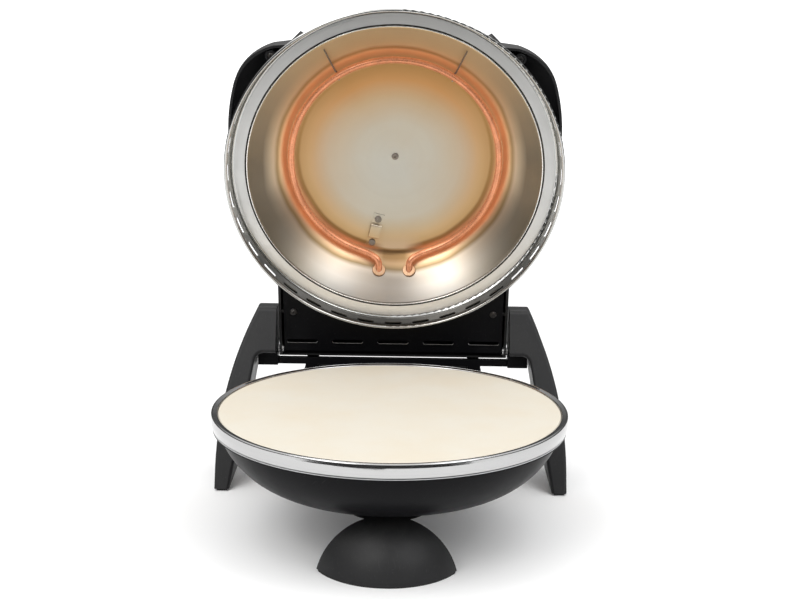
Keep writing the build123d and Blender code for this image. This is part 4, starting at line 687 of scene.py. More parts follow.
@dataclass(frozen=True)
class MouldedBlack(Finish):
    """Black moulded plastic with spark-eroded grain and light scuffs."""

    grain: float = 1700.0
    depth: float = 0.22
    sheen_level: float = 0.38

    def dress(self, skin: Skin) -> None:
        """Add mould grain, scuffs and dust.

        Args:
            skin: The material.
        """
        grain = skin.put(Effect.FINE_GRAIN, Size=self.grain, Pits=0.5)
        marks = skin.put(Effect.HANDLING, Spread=20.0, Scratches=0.6)
        dust = skin.put(Effect.DUST, Amount=0.08)
        faded = skin.stain(self.colour, marks["Smudges"], 0.25, shaded(self.colour, 1.5))
        dusty = skin.mix(dust["Mask"], faded, (0.28, 0.27, 0.25))
        skin.give("Base Color", skin.stain(dusty, marks["Hairlines"], 0.10, (0.20, 0.20, 0.20)))
        rough = skin.add(skin.grained(grain["Height"], -0.05, 0.07), self.roughness)
        skin.give("Roughness", skin.maths("MULTIPLY_ADD", marks["Smudges"], -0.06, rough))
        skin.give("Specular IOR Level", self.sheen_level)
        skin.bump(grain["Height"], strength=self.depth, depth=0.00012)


@dataclass(frozen=True)
class GlowingTube(Finish):
    """Sheathed heating tube at working heat, with uneven glow along it."""

    hot: Colour = (1.0, 0.34, 0.14)
    strength: float = 0.30

    def dress(self, skin: Skin) -> None:
        """Add oxide mottling and the glow, cooler at the ends.

        Args:
            skin: The material.
        """
        grain = skin.put(Effect.FINE_GRAIN, Size=900.0, Pits=0.3)
        where = skin.place()
        mottle = skin.remap(skin.noise(where, 90.0, 4.0, 0.6), 0.3, 0.7)
        skin.give("Base Color", skin.mix(mottle, self.colour, shaded(self.colour, 0.6)))
        live = skin.remap(skin.polar(Axis.LID)["Radius"], 0.104, 0.121, 1.0, 0.25)
        uneven = skin.remap(skin.noise(where, 30.0, 3.0), 0.3, 0.7, 0.65, 1.0)
        skin.give("Emission Color", skin.mix(skin.times(live, uneven), BLACK, self.hot))
        skin.give("Emission Strength", self.strength)
        spread = 0.1
        skin.give("Roughness", skin.grained(grain["Height"], self.roughness - spread,
                                            self.roughness + spread))
        skin.bump(grain["Height"], strength=0.06, depth=0.0001)


@dataclass(frozen=True)
class WorkedMetal(Finish):
    """Plated, cast or heat-dulled metal of hardware and hidden pieces."""

    metallic: float = 1.0
    grain: float = 1500.0
    depth: float = 0.08
    stained: Colour = (0.30, 0.24, 0.18)
    scratch: Colour = (0.85, 0.85, 0.84)

    def dress(self, skin: Skin) -> None:
        """Add grain, stains and scratches.

        Args:
            skin: The material.
        """
        grain = skin.put(Effect.FINE_GRAIN, Size=self.grain, Pits=0.45)
        marks = skin.put(Effect.HANDLING, Spread=60.0, Scratches=0.8)
        tone = skin.stain(self.colour, marks["Smudges"], 0.15, self.stained)
        skin.give("Base Color", skin.stain(tone, marks["Hairlines"], 0.4, self.scratch))
        skin.give("Roughness", skin.grained(grain["Height"], self.roughness - 0.08,
                                            self.roughness + 0.1))
        skin.bump(grain["Height"], strength=self.depth, depth=0.0001)


@dataclass(frozen=True)
class SoftOrFired(Finish):
    """Rubber, ceramic, silicone and clear plastic: fine grain and slight mottling."""

    grain: float = 1200.0
    depth: float = 0.15
    mottle: float = 0.25

    def dress(self, skin: Skin) -> None:
        """Add grain, mottling and dust.

        Args:
            skin: The material.
        """
        grain = skin.put(Effect.FINE_GRAIN, Size=self.grain, Pits=0.3)
        dust = skin.put(Effect.DUST, Amount=0.10)
        cloud = skin.remap(skin.noise(skin.place(), 80.0, 4.0), 0.35, 0.7, 0.0, self.mottle)
        tone = skin.mix(cloud, self.colour, shaded(self.colour, 0.65))
        skin.give("Base Color", skin.mix(dust["Mask"], tone, (0.4, 0.38, 0.35)))
        skin.give("Roughness", skin.grained(grain["Height"], self.roughness - 0.06,
                                            self.roughness + 0.08))
        skin.bump(grain["Height"], strength=self.depth, depth=0.0001)


@dataclass(frozen=True)
class StudioPaper(Finish):
    """Pale matt paper that gives back a little light of its own."""

    clouded: Colour = (0.94, 0.94, 0.94)
    glow: float = 0.07

    def dress(self, skin: Skin) -> None:
        """Add faint clouding and the paper's own light.

        Args:
            skin: The material.
        """
        cloud = skin.noise(skin.place(), 3.0, 4.0)
        skin.give("Base Color", skin.mix(cloud, self.colour, self.clouded))
        skin.give("Emission Color", WHITE)
        skin.give("Emission Strength", self.glow)


FINISHES: tuple[Finish, ...] = (
    FiredStone("cream_stone", (0.64, 0.605, 0.525), 0.8),
    PolishedSheet("polished_ring", (0.47, 0.47, 0.47), 0.08, axis=Axis.BASE, brushed=0.03),
    ShadedRim("polished_rim", (0.52, 0.52, 0.51), 0.14),
    BrushedFlange("brushed_flange", (0.62, 0.62, 0.61), 0.34, 0.85, fineness=900.0, brushed=0.08),
    # The lip is polished flange steel; its lighter cream colour is a painted highlight.
    PolishedSheet("rolled_lip_highlight", (0.86, 0.85, 0.82), 0.20),
    PolishedSheet("brushed_dial", (0.62, 0.62, 0.61), 0.32, fineness=900.0, brushed=0.1),
    HeatTintedDish("spun_dish", (0.54, 0.50, 0.42), 0.34, 0.86),
    StovedEnamel("black_enamel", (0.006, 0.006, 0.007), 0.34),
    StovedEnamel("dome_enamel", (0.009, 0.009, 0.010), 0.30, coat=0.22, sheen_level=0.40),
    MouldedBlack("black_moulding", (0.012, 0.012, 0.013), 0.44),
    MouldedBlack("knob_black", (0.012, 0.012, 0.012), 0.30, grain=2200.0, depth=0.12),
    GlowingTube("hot_tube", (0.74, 0.33, 0.19), 0.26, 0.75),
    WorkedMetal("cold_tube", (0.20, 0.16, 0.13), 0.5, grain=900.0, depth=0.15),
    WorkedMetal("spring_steel", (0.30, 0.27, 0.24), 0.38, grain=900.0, depth=0.15),
    WorkedMetal("plated_sheet", (0.52, 0.53, 0.54), 0.35, grain=300.0, depth=0.1),
    WorkedMetal("cast_alloy", (0.42, 0.42, 0.42), 0.48, grain=700.0, depth=0.4),
    WorkedMetal("zinc_steel", (0.62, 0.62, 0.62), 0.28),
    WorkedMetal("copper_collar", (0.56, 0.34, 0.20), 0.28),
    # Near-black colour of the flange seam: painted shade in the recess.
    WorkedMetal("seam_shade", (0.015, 0.014, 0.012), 0.7, 0.0),
    # Light grey louvre edges on the black plate: painted highlight.
    WorkedMetal("louvre_highlight", (0.42, 0.42, 0.42), 0.30),
    WorkedMetal("blacked_steel", (0.020, 0.020, 0.021), 0.40, 0.3),
    SoftOrFired("black_rubber", (0.02, 0.02, 0.02), 0.72),
    SoftOrFired("fired_ceramic", (0.80, 0.77, 0.69), 0.6),
    SoftOrFired("lead_sleeve", (0.62, 0.59, 0.53), 0.5),
    SoftOrFired("lamp_red", (0.55, 0.03, 0.015), 0.12, grain=600.0, depth=0.05),
    SoftOrFired("dial_white", (0.75, 0.75, 0.73), 0.5, grain=1500.0, depth=0.05, mottle=0.1),
    SoftOrFired("dial_ink", (0.02, 0.02, 0.02), 0.5, grain=1500.0, depth=0.05, mottle=0.1),
    StudioPaper("studio_paper", (0.92, 0.92, 0.92), 0.85),
)

NODE_FINISHES: dict[str, tuple[str, ...]] = {
    "cream_stone": ("pizza_stone",),
    "polished_ring": ("trim_ring",),
    "polished_rim": ("lid_rim_skirt",),
    "brushed_flange": ("lid_flange_ring",),
    "brushed_dial": ("dial_plates",),
    "spun_dish": ("lid_inner_dish", "sensor_bracket"),
    "black_enamel": ("base_bowl", "hinge_cover_plate", "hinge_yoke", "stand_bracket"),
    "dome_enamel": ("lid_dome",),
    "black_moulding": (
        "front_foot", "right_leg_front", "left_leg_front", "right_leg_cover", "left_leg_cover",
        "connection_box", "connection_box_cover", "hinge_housing", "handle_bow", "timer_body",
    ),
    "knob_black": ("thermostat_knob", "timer_knob"),
    "hot_tube": ("upper_heating_element",),
    "cold_tube": ("lower_heating_element",),
    "spring_steel": (
        "lower_element_saddles", "upper_element_clips", "dish_centre_screw",
        "sensor_bracket_screws",
    ),
    "plated_sheet": ("reflector_pan", "thermostat_body"),
    "copper_collar": ("upper_element_bushings",),
    "cast_alloy": ("hinge_bushes",),
    "zinc_steel": (
        "lower_element_terminals", "front_foot_screws", "leg_screws", "hinge_pins",
        "bracket_screws", "connection_box_screws", "upper_element_terminals",
        "dish_post", "timer_bell",
    ),
    "blacked_steel": ("cover_plate_screws", "handle_screws"),
    "black_rubber": ("front_foot_pad", "leg_pads", "lid_stop_pads", "cord_gland"),
    "fired_ceramic": ("lower_element_bushings", "terminal_block", "heat_sensor"),
    "lead_sleeve": ("supply_leads", "lid_leads"),
    "lamp_red": ("pilot_lamp",),
}


@dataclass
class Paintshop:
    """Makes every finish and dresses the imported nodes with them.

    Args:
        nodes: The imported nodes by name.
    """

    nodes: dict[str, bpy.types.Object]
    materials: dict[str, bpy.types.Material] = field(default_factory=dict)

    def build(self) -> None:
        """Make the materials and put one on each node."""
        shelf = EffectShelf()
        for finish in FINISHES:
            self.materials[finish.name] = finish.make(shelf)
        bare = set(self.nodes)
        for name, members in NODE_FINISHES.items():
            for member in members:
                self.dress(self.nodes[member], name)
                bare.discard(member)
        log.info("dressed %d nodes, left bare: %s", len(self.nodes) - len(bare), sorted(bare))

    def dress(self, piece: bpy.types.Object, *finishes: str) -> None:
        """Put finishes on a piece, one for each material slot.

        Args:
            piece: The object.
            *finishes: The finishes' names.
        """
        slots = piece.data.materials
        while len(slots) > len(finishes):
            slots.pop()
        for index, finish in enumerate(finishes):
            if index < len(slots):
                slots[index] = self.materials[finish]
            else:
                slots.append(self.materials[finish])


# ------------------------------------------------------------------------------- new pieces
def add_piece(name: str, mesh: Mesh, body: str, smooth: bool = True) -> bpy.types.Object:
    """Turn a mesh into a piece that rides on a body.

    Args:
        name: The piece's name.
        mesh: The mesh, in the shared frame.
        body: The body it rides on.
        smooth: Whether to shade it smooth by angle.

    Returns:
        The new object.
    """
    data = bpy.data.meshes.new(name)
    mesh.to_mesh(data)
    mesh.free()
    for face in data.polygons:
        face.use_smooth = smooth
    if smooth:
        data.set_sharp_from_angle(angle=SHARP_EDGE)
    piece = bpy.data.objects.new(name, data)
    bpy.context.scene.collection.objects.link(piece)
    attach(piece, body)
    log.info("piece %s on %s", name, body)
    return piece


def bridge(mesh: Mesh, loops: Sequence[Loop], slot: int = 0) -> None:
    """Join closed loops of points with bands of faces.

    Args:
        mesh: The mesh to add to.
        loops: The loops in order, all with the same number of points.
        slot: Material slot of the faces.
    """
    for low, high in zip(loops, loops[1:]):
        for k in range(len(low)):
            after = (k + 1) % len(low)
            face = mesh.faces.new((low[k], low[after], high[after], high[k]))
            face.material_index = slot


def lathe(mesh: Mesh, profile: Sequence[tuple[float, float]], sides: int,
          put: Callable[[float, float, float], Vector], slot: int = 0) -> list[Loop]:
    """Turn an open profile about its axis.

    Args:
        mesh: The mesh to add to.
        profile: Radius and height of each point.
        sides: Number of points round each loop.
        put: Moves a place beside the axis into the shared frame.
        slot: Material slot of the faces.

    Returns:
        The loops of points, one for each point of the profile.
    """
    loops = []
    for radius, height in profile:
        loops.append([mesh.verts.new(put(radius * math.cos(turn), radius * math.sin(turn), height))
                      for turn in turns(sides)])
    bridge(mesh, loops, slot)
    return loops


def raise_outline(mesh: Mesh, outline: Sequence[Vector], rise: float) -> None:
    """Raise a closed outline on the lid into a thin plate.

    Args:
        mesh: The mesh to add to.
        outline: Its points, lid closed.
        rise: The plate's thickness.
    """
    low = [mesh.verts.new(opened(*spot)) for spot in outline]
    high = [mesh.verts.new(opened(spot.x, spot.y, spot.z + rise)) for spot in outline]
    mesh.faces.new(high)
    bridge(mesh, (low, high))


@dataclass(frozen=True)
class CrossHeadScrews:
    """Pan-head screws with a cross recess, standing for plain packed ones.

    Args:
        node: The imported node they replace.
        places: Where the undersides of their heads sit, lid closed.
        inward: The way their shanks point, lid closed.
        thread_root: Share of the shank's radius, as is tip_share.
        rim_share: Share of the head's height where its crown starts.
        crown: How far the crown draws in, as a share of the head's radius.
        slot_reach: Least reach of the cross and what its arms add, as shares of that radius.
        slot_taper: Size of the recess's floor against its mouth.
        slot_floor: Its height, as a share of the head's height.
    """

    node: str
    body: str
    places: tuple[Point, ...]
    inward: Point
    shank_length: float
    finish: str = "zinc_steel"
    head_radius: float = 0.0035
    head_height: float = 0.0022
    shank_radius: float = 0.00172
    first_turn: float = 0.5
    turn_step: float = 1.3
    sides: int = 48
    tip_share: float = 0.55
    thread_turns: int = 9
    thread_root: float = 0.80
    thread_start: float = 0.0012
    thread_end: float = 0.0018
    neck: float = 0.0009
    rim_share: float = 0.30
    crown: float = 0.42
    crown_steps: int = 8
    slot_reach: tuple[float, float] = (0.17, 0.31)
    slot_sharpness: float = 0.8
    slot_taper: float = 0.62
    slot_floor: float = 0.35

    def build(self, shop: Paintshop) -> None:
        """Build all the screws as one piece.

        Args:
            shop: The finishes.
        """
        mesh = bmesh.new()
        for index, place in enumerate(self.places):
            self._one(mesh, self._frame(place, self.first_turn + self.turn_step * index))
        piece = add_piece(self.node + "_detailed", mesh, self.body)
        shop.dress(piece, self.finish)
        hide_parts(self.node)

    def _frame(self, place: Point, turn: float) -> Matrix:
        """Give the frame of one screw, +Z out of its head.

        Args:
            place: Where the underside of its head sits, lid closed.
            turn: How far it is turned, in radians.

        Returns:
            The frame.
        """
        on_lid = self.body == "lid"
        at = opened(*place) if on_lid else Vector(place)
        inward = LID_TURN @ Vector(self.inward) if on_lid else Vector(self.inward)
        lean = (-inward).normalized().to_track_quat("Z", "Y").to_matrix().to_4x4()
        return Matrix.Translation(at) @ lean @ Matrix.Rotation(turn, 4, "Z")

    def _profile(self) -> list[tuple[float, float]]:
        """Give the screw's outline from its tip to its crown.

        Returns:
            Radius and height of each point.
        """
        profile = [(self.shank_radius * self.tip_share, -self.shank_length)]
        thread = self.shank_length - self.thread_start - self.thread_end
        for index in range(self.thread_turns * 2 + 1):
            depth = thread * index / (self.thread_turns * 2) + self.thread_start - self.shank_length
            profile.append((self.shank_radius * (1.0 if index % 2 else self.thread_root), depth))
        profile += [(self.shank_radius, -self.neck), (self.shank_radius, 0.0),
                    (self.head_radius, 0.0)]
        for index in range(1, self.crown_steps + 1):
            angle = index / self.crown_steps * math.pi / 2
            rise = self.rim_share + (1.0 - self.rim_share) * math.sin(angle)
            inset = self.crown * (1 - math.cos(angle))
            profile.append((self.head_radius * (1 - inset), self.head_height * rise))
        return profile

    def _one(self, mesh: Mesh, frame: Matrix) -> None:
        """Add one screw.

        Args:
            mesh: The mesh to add to.
            frame: Its frame.
        """
        loops = lathe(mesh, self._profile(), self.sides, lambda x, y, z: frame @ Vector((x, y, z)))
        mesh.faces.new(loops[0][::-1])
        mouth, floor = [], []
        least, arms = self.slot_reach
        for turn in turns(self.sides):
            arm = max(0.0, math.cos(4 * turn)) ** self.slot_sharpness
            reach = self.head_radius * (least + arms * arm)
            x, y = reach * math.cos(turn), reach * math.sin(turn)
            mouth.append(mesh.verts.new(frame @ Vector((x, y, self.head_height))))
            floor.append(mesh.verts.new(frame @ Vector((
                self.slot_taper * x, self.slot_taper * y, self.slot_floor * self.head_height,
            ))))
        bridge(mesh, (loops[-1], mouth, floor))
        mesh.faces.new(floor)


@dataclass(frozen=True)
class DialMarks:
    """Printed scale of one dial: tick marks and plain numbers.

    Args:
        last: Angle of the last number, in degrees from the first.
        major: Length and half width of a tick at a number.
        minor: Length and half width of a tick between numbers.
    """

    name: str
    centre_x: float
    labels: str
    last: float
    ticks: int
    centre_y: float = 0.172
    face_z: float = 0.16902
    tick_radius: float = 0.0203
    text_radius: float = 0.0238
    text_size: float = 0.0042
    thickness: float = 0.00006
    major: tuple[float, float] = (0.0016, 0.00028)
    minor: tuple[float, float] = (0.0009, 0.00018)

    def build(self, shop: Paintshop) -> None:
        """Build the ticks and numbers.

        Args:
            shop: The finishes.
        """
        mesh = bmesh.new()
        spacing = max(1, (self.ticks - 1) // (len(self.labels) - 1))
        for index in range(self.ticks):
            length, half = self.minor if index % spacing else self.major
            out = self._out(index / (self.ticks - 1))
            side = Vector((-out.y, out.x, 0.0)) * half
            start = self._centre(self.face_z) + out * self.tick_radius
            outline = (start - side, start + side, start + side + out * length,
                       start - side + out * length)
            raise_outline(mesh, outline, self.thickness)
        shop.dress(add_piece(self.name + "_ticks", mesh, "lid", smooth=False), "dial_ink")
        for index in range(len(self.labels)):
            self._number(index, shop)

    def _centre(self, height: float) -> Vector:
        """Give the dial's centre at a height, lid closed."""
        return Vector((self.centre_x, self.centre_y, height))

    def _out(self, share: float) -> Vector:
        """Give the outward direction at a share of the scale, which starts away from the lid."""
        angle = math.radians(90.0 - self.last * share)
        return Vector((math.cos(angle), math.sin(angle), 0.0))

    def _number(self, index: int, shop: Paintshop) -> None:
        """Add one number.

        Args:
            index: Its place in the order.
            shop: The finishes.
        """
        curve = bpy.data.curves.new(f"{self.name}_number_{index}", "FONT")
        curve.body = self.labels[index]
        curve.size = self.text_size
        curve.align_x = "CENTER"
        curve.align_y = "CENTER"
        curve.extrude = self.thickness / 2
        piece = bpy.data.objects.new(curve.name, curve)
        bpy.context.scene.collection.objects.link(piece)
        out = self._out(index / (len(self.labels) - 1))
        place = self._centre(self.face_z + self.thickness / 2) + out * self.text_radius
        upright = Matrix.Rotation(math.pi, 4, "Z")
        piece.matrix_world = Matrix.Translation(opened(*place)) @ LID_TURN.to_4x4() @ upright
        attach(piece, "lid")
        shop.dress(piece, "dial_ink")


@dataclass(frozen=True)
class KnobPointer:
    """White line let into the top of a knob, from near its centre to far out."""

    body: str
    centre_x: float
    centre_y: float = 0.172
    top_z: float = 0.1846
    near: float = 0.002
    far: float = 0.011
    half_width: float = 0.0009
    thickness: float = 0.00015
    steps: int = 8

    def build(self, shop: Paintshop) -> None:
        """Build the line as a thin rounded bar on the knob's top.

        Args:
            shop: The finishes.
        """
        mesh = bmesh.new()
        outline: list[Vector] = []
        for end, base in ((self.far, 0.0), (self.near, math.pi)):
            for step in range(self.steps + 1):
                angle = base + math.pi * step / self.steps
                outline.append(Vector((
                    self.centre_x + self.half_width * math.cos(angle),
                    self.centre_y + end + self.half_width * math.sin(angle),
                    self.top_z,
                )))
        raise_outline(mesh, outline, self.thickness)
        shop.dress(add_piece(self.body + "_pointer", mesh, self.body, smooth=False), "dial_white")


@dataclass(frozen=True)
class FlangeRing:
    """Flat ring round the dish's mouth, with a seam beside the dish's rolled lip coloured dark as
    painted shade.

    Args:
        face_z: Height of its face, lid closed.
        seam_draft: How much the seam narrows to its floor.
        seam_depth: Depth of the seam as a share of the sheet.
    """

    outer: float = 0.1582
    inner: float = 0.1449
    face_z: float = 0.1300
    sheet: float = 0.0007
    lip: float = 0.0013
    seam: float = 0.0015
    chamfer: float = 0.0002
    seam_draft: float = 0.0001
    seam_depth: float = 0.8
    lip_steps: int = 8
    segments: int = 240
    weld: float = 1e-6

    def build(self, shop: Paintshop) -> None:
        """Turn the ring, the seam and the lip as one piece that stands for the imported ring.

        Args:
            shop: The finishes.
        """
        mesh = bmesh.new()
        face_z, back_z, half_lip = self.face_z, self.face_z + self.sheet, self.lip / 2
        shoulder = self.inner + self.lip
        edge = shoulder + self.seam
        floor = face_z + self.seam_depth * self.sheet
        face = [(self.outer, back_z), (self.outer, face_z + self.chamfer),
                (self.outer - self.chamfer, face_z), (edge, face_z)]
        seam = [(edge, face_z), (edge - self.seam_draft, floor), (shoulder, floor)]
        lip = [(shoulder, floor)]
        for step in range(self.lip_steps + 1):
            angle = math.pi * step / self.lip_steps
            lip.append((self.inner + half_lip * (1.0 + math.cos(angle)),
                        face_z - half_lip * math.sin(angle)))
        lip.append((self.inner, back_z))
        back = [lip[-1], face[0]]
        for slot, profile in ((0, face), (1, seam), (2, lip), (0, back)):
            lathe(mesh, profile, self.segments, opened, slot)
        bmesh.ops.remove_doubles(mesh, verts=mesh.verts[:], dist=self.weld)
        bmesh.ops.recalc_face_normals(mesh, faces=mesh.faces[:])
        piece = add_piece("lid_flange_ring_detailed", mesh, "lid")
        shop.dress(piece, "brushed_flange", "seam_shade", "rolled_lip_highlight")
        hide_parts("lid_flange_ring")


@dataclass(frozen=True)
class LouvreEdges:
    """Bright edges along the lower sides of the cover plate's louvres: painted highlight where the
    edges catch light.

    Args:
        line_y: Where their row lies, lid closed.
        face_z: Height of the plate's face, lid closed.
        wire: Radius of the edge.
    """

    count: int = 5
    pitch: float = 0.047
    length: float = 0.0315
    width: float = 0.0040
    line_y: float = 0.186
    face_z: float = 0.1230
    wire: float = 0.00036
    bend_steps: int = 6
    sides: int = 8

    def build(self, shop: Paintshop) -> None:
        """Build the edges as one piece.

        Args:
            shop: The finishes.
        """
        mesh = bmesh.new()
        for index in range(self.count):
            self._edge(mesh, (index - (self.count - 1) / 2) * self.pitch)
        shop.dress(add_piece("louvre_edges", mesh, "lid"), "louvre_highlight")

    def _edge(self, mesh: Mesh, middle: float) -> None:
        """Sweep one edge: a straight run with both ends turned up round the slot.

        Args:
            mesh: The mesh to add to.
            middle: The louvre's middle to the right.
        """
        bend = self.width / 2
        straight = self.length / 2 - bend
        quarter = [math.pi / 2 * step / self.bend_steps for step in range(self.bend_steps + 1)]
        loops = []
        for side, bends in ((-1, quarter), (1, quarter[::-1])):
            for turned in bends:
                out_x, out_y = side * math.cos(turned), math.sin(turned)
                x, y = middle + side * straight + bend * out_x, self.line_y + bend * out_y
                loop = []
                for turn in turns(self.sides):
                    reach = self.wire * math.cos(turn)
                    loop.append(mesh.verts.new(opened(x + out_x * reach, y + out_y * reach,
                                                      self.face_z + self.wire * math.sin(turn))))
                loops.append(loop)
        bridge(mesh, loops)
        mesh.faces.new(loops[0][::-1])
        mesh.faces.new(loops[-1])


# ------------------------------------------------------------------------------- sub-assemblies
@dataclass(frozen=True)
class BaseHardware:
    """Screws of the connection box and the legs.

    Args:
        box_screw: Place of the box's right one.
        leg_screws: Place to the right and height of each one in the right leg.
    """

    box_screw: Point = (0.042, 0.2225, 0.084)
    box_shank: float = 0.008
    leg_screws: tuple[tuple[float, float], ...] = ((0.1285, 0.152), (0.1655, 0.038))
    leg_shank: float = 0.024
    leg_bottom_z: float = 0.002
    leg_top_z: float = 0.174
    leg_bottom_y: float = 0.105
    leg_top_y: float = 0.1735
    leg_shell_depth: float = 0.029
    leg_cover_depth: float = 0.014

    def build(self, shop: Paintshop) -> None:
        """Build the base's visible screws.

        Args:
            shop: The finishes.
        """
        box = both_sides(*self.box_screw)
        legs = tuple(place for x, z in self.leg_screws
                     for place in both_sides(x, self._leg_seat_y(z), z))
        for node, places, shank in (("connection_box_screws", box, self.box_shank),
                                    ("leg_screws", legs, self.leg_shank)):
            CrossHeadScrews(node, "base", places, FORWARD, shank).build(shop)

    def _leg_seat_y(self, z: float) -> float:
        """Give how far back a leg screw's head sits.

        Args:
            z: The screw's height.

        Returns:
            The place of its head's underside.
        """
        rake = (self.leg_top_y - self.leg_bottom_y) / (self.leg_top_z - self.leg_bottom_z)
        front = self.leg_bottom_y + rake * (z - self.leg_bottom_z)
        return front + self.leg_shell_depth + self.leg_cover_depth


@dataclass(frozen=True)
class LidHardware:
    """Screws of the dish's centre, the cover plate and the handle bow, lid closed."""

    centre_screw: Point = (0.0, 0.0, 0.17298)
    plate_screw: Point = (0.1025, 0.1523, 0.123)
    bow_screw: Point = (0.120, -0.111, 0.1465)
    long_shank: float = 0.012
    short_shank: float = 0.008

    def build(self, shop: Paintshop) -> None:
        """Build the lid's visible screws.

        Args:
            shop: The finishes.
        """
        for node, places, shank, finish in (
            ("dish_centre_screw", (self.centre_screw,), self.long_shank, "spring_steel"),
            ("cover_plate_screws", both_sides(*self.plate_screw), self.long_shank, "blacked_steel"),
            ("handle_screws", both_sides(*self.bow_screw), self.short_shank, "blacked_steel"),
        ):
            CrossHeadScrews(node, "lid", places, UP, shank, finish).build(shop)


@dataclass(frozen=True)
class Console:
    """Dial scales, swept through some degrees, and knob pointers on the hinge housing."""

    knob_x: float = 0.055
    thermostat_sweep: float = 270.0
    timer_sweep: float = 300.0

    def build(self, shop: Paintshop) -> None:
        """Build both dials.

        Args:
            shop: The finishes.
        """
        for piece in (
            DialMarks("thermostat_scale", -self.knob_x, "0123", self.thermostat_sweep, ticks=28),
            DialMarks("timer_scale", self.knob_x, "012345", self.timer_sweep, ticks=26),
            KnobPointer("thermostat_control", -self.knob_x),
            KnobPointer("timer_control", self.knob_x),
        ):
            piece.build(shop)


@dataclass(frozen=True)
class Softbox:
    """One square soft light, its size in metres and its power in watts."""

    name: str
    place: Point
    aim: Point
    size: float
    power: float
    colour: Colour = WHITE

    def hang(self) -> None:
        """Add the light to the scene."""
        data = bpy.data.lights.new(self.name, "AREA")
        data.shape = "SQUARE"
        data.size = self.size
        data.energy = self.power
        data.color = self.colour
        lamp = bpy.data.objects.new(self.name, data)
        lamp.location = self.place
        lamp.rotation_mode = "QUATERNION"
        lamp.rotation_quaternion = (Vector(self.aim) - Vector(self.place)).to_track_quat("-Z", "Y")
        bpy.context.scene.collection.objects.link(lamp)


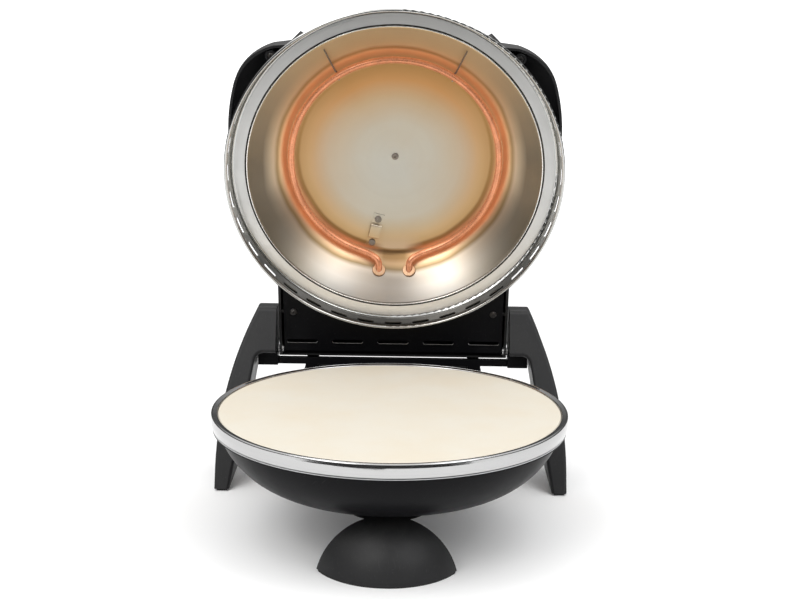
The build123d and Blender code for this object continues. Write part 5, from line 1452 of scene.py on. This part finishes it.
@dataclass(frozen=True)
class Studio:
    """Pale floor, soft lights, surrounding light and the camera.

    Args:
        yaw: Turn to the left, in degrees.
        pitch: Tilt down, in degrees.
        roll: Lean, in degrees.
        lens: Focal length in millimetres, as is the sensor's width.
        clip: Nearest and farthest distance that is seen.
        room: Brightness of the surroundings by height, from straight down to straight up.
    """

    camera_at: Point = (0.0161, -1.2544, 0.4877)
    yaw: float = 0.37
    pitch: float = 12.05
    roll: float = 0.73
    lens: float = 64.586
    sensor: float = 36.0
    clip: tuple[float, float] = (0.05, 60.0)
    table_side: float = 1.3
    table_front: float = -0.56
    table_back: float = 1.3
    room: tuple[tuple[float, float], ...] = (
        (0.0, 0.04), (0.58, 0.04), (0.67, 0.12), (0.80, 0.68), (1.0, 1.0),
    )
    room_strength: float = 1.50
    softboxes: tuple[Softbox, ...] = (
        Softbox("key_softbox", (-0.9, -1.3, 1.4), (0.0, 0.0, 0.2), 0.9, 9.0, (1.0, 0.99, 0.97)),
        Softbox("fill_softbox", (1.2, -1.3, 1.3), (0.0, 0.0, 0.2), 0.9, 5.0, (0.98, 0.99, 1.0)),
        Softbox("left_top_softbox", (-0.85, -0.45, 1.6), (0.0, 0.0, 0.1), 0.8, 6.5),
        Softbox("right_top_softbox", (0.85, -0.45, 1.6), (0.0, 0.0, 0.1), 0.8, 6.5),
        Softbox("back_strip", (0.0, 1.7, 1.3), (0.0, 0.1, 0.3), 1.2, 1.0),
    )

    def build(self, shop: Paintshop) -> None:
        """Build the floor, the light and the camera.

        Args:
            shop: The finishes.
        """
        bpy.context.scene.view_settings.view_transform = "Standard"
        self._floor(shop)
        self._surround()
        for softbox in self.softboxes:
            softbox.hang()
        self._camera()

    def _floor(self, shop: Paintshop) -> None:
        """Lay a pale table; polished steel mirrors the dark room beyond its front edge.

        Args:
            shop: The finishes.
        """
        mesh = bmesh.new()
        side, front, back = self.table_side, self.table_front, self.table_back
        corners = ((-side, front), (side, front), (side, back), (-side, back))
        mesh.faces.new([mesh.verts.new((x, y, 0.0)) for x, y in corners])
        data = bpy.data.meshes.new("studio_floor")
        mesh.to_mesh(data)
        mesh.free()
        floor = bpy.data.objects.new("studio_floor", data)
        bpy.context.scene.collection.objects.link(floor)
        shop.dress(floor, "studio_paper")

    def _surround(self) -> None:
        """Light the scene from a white ceiling above a darker room, which steel mirrors."""
        world = bpy.data.worlds.new("studio_room")
        bpy.context.scene.world = world
        world.use_nodes = True
        graph = Graph(world.node_tree)
        light = world.node_tree.nodes["Background"]
        where = graph.node("ShaderNodeTexCoord")["Generated"]
        height = graph.remap(graph.node("ShaderNodeSeparateXYZ", {0: where})["Z"], -1.0, 1.0)
        room = graph.ramp(height, tuple((at, (level, level, level)) for at, level in self.room))
        seen = graph.mix(graph.node("ShaderNodeLightPath")["Is Camera Ray"], room, WHITE)
        graph.feed(light.inputs["Color"], seen)
        graph.feed(light.inputs["Strength"], self.room_strength)

    def _camera(self) -> None:
        """Stand the camera where the photograph was taken."""
        yaw, pitch, roll = (math.radians(turn) for turn in (self.yaw, self.pitch, self.roll))
        right = Vector((math.cos(yaw), math.sin(yaw), 0.0))
        ahead = Vector((-math.sin(yaw) * math.cos(pitch), math.cos(yaw) * math.cos(pitch),
                        -math.sin(pitch)))
        above = right.cross(ahead)
        side = right * math.cos(roll) + above * math.sin(roll)
        top = above * math.cos(roll) - right * math.sin(roll)
        data = bpy.data.cameras.new("photograph_camera")
        data.lens = self.lens
        data.sensor_width = self.sensor
        data.clip_start, data.clip_end = self.clip
        camera = bpy.data.objects.new("photograph_camera", data)
        turn = Matrix((side, top, -ahead)).transposed().to_4x4()
        camera.matrix_world = Matrix.Translation(Vector(self.camera_at)) @ turn
        bpy.context.scene.collection.objects.link(camera)
        bpy.context.scene.camera = camera


def main() -> None:
    """Load the frame and build every piece in order."""
    logging.basicConfig(level=logging.INFO, format="%(name)s: %(message)s")
    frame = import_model()
    shop = Paintshop(frame["nodes"])
    shop.build()
    for assembly in (BaseHardware(), LidHardware(), FlangeRing(), LouvreEdges(), Console(),
                     Studio()):
        assembly.build(shop)
        log.info("built %s", type(assembly).__name__)


if __name__ == "__main__":
    main()
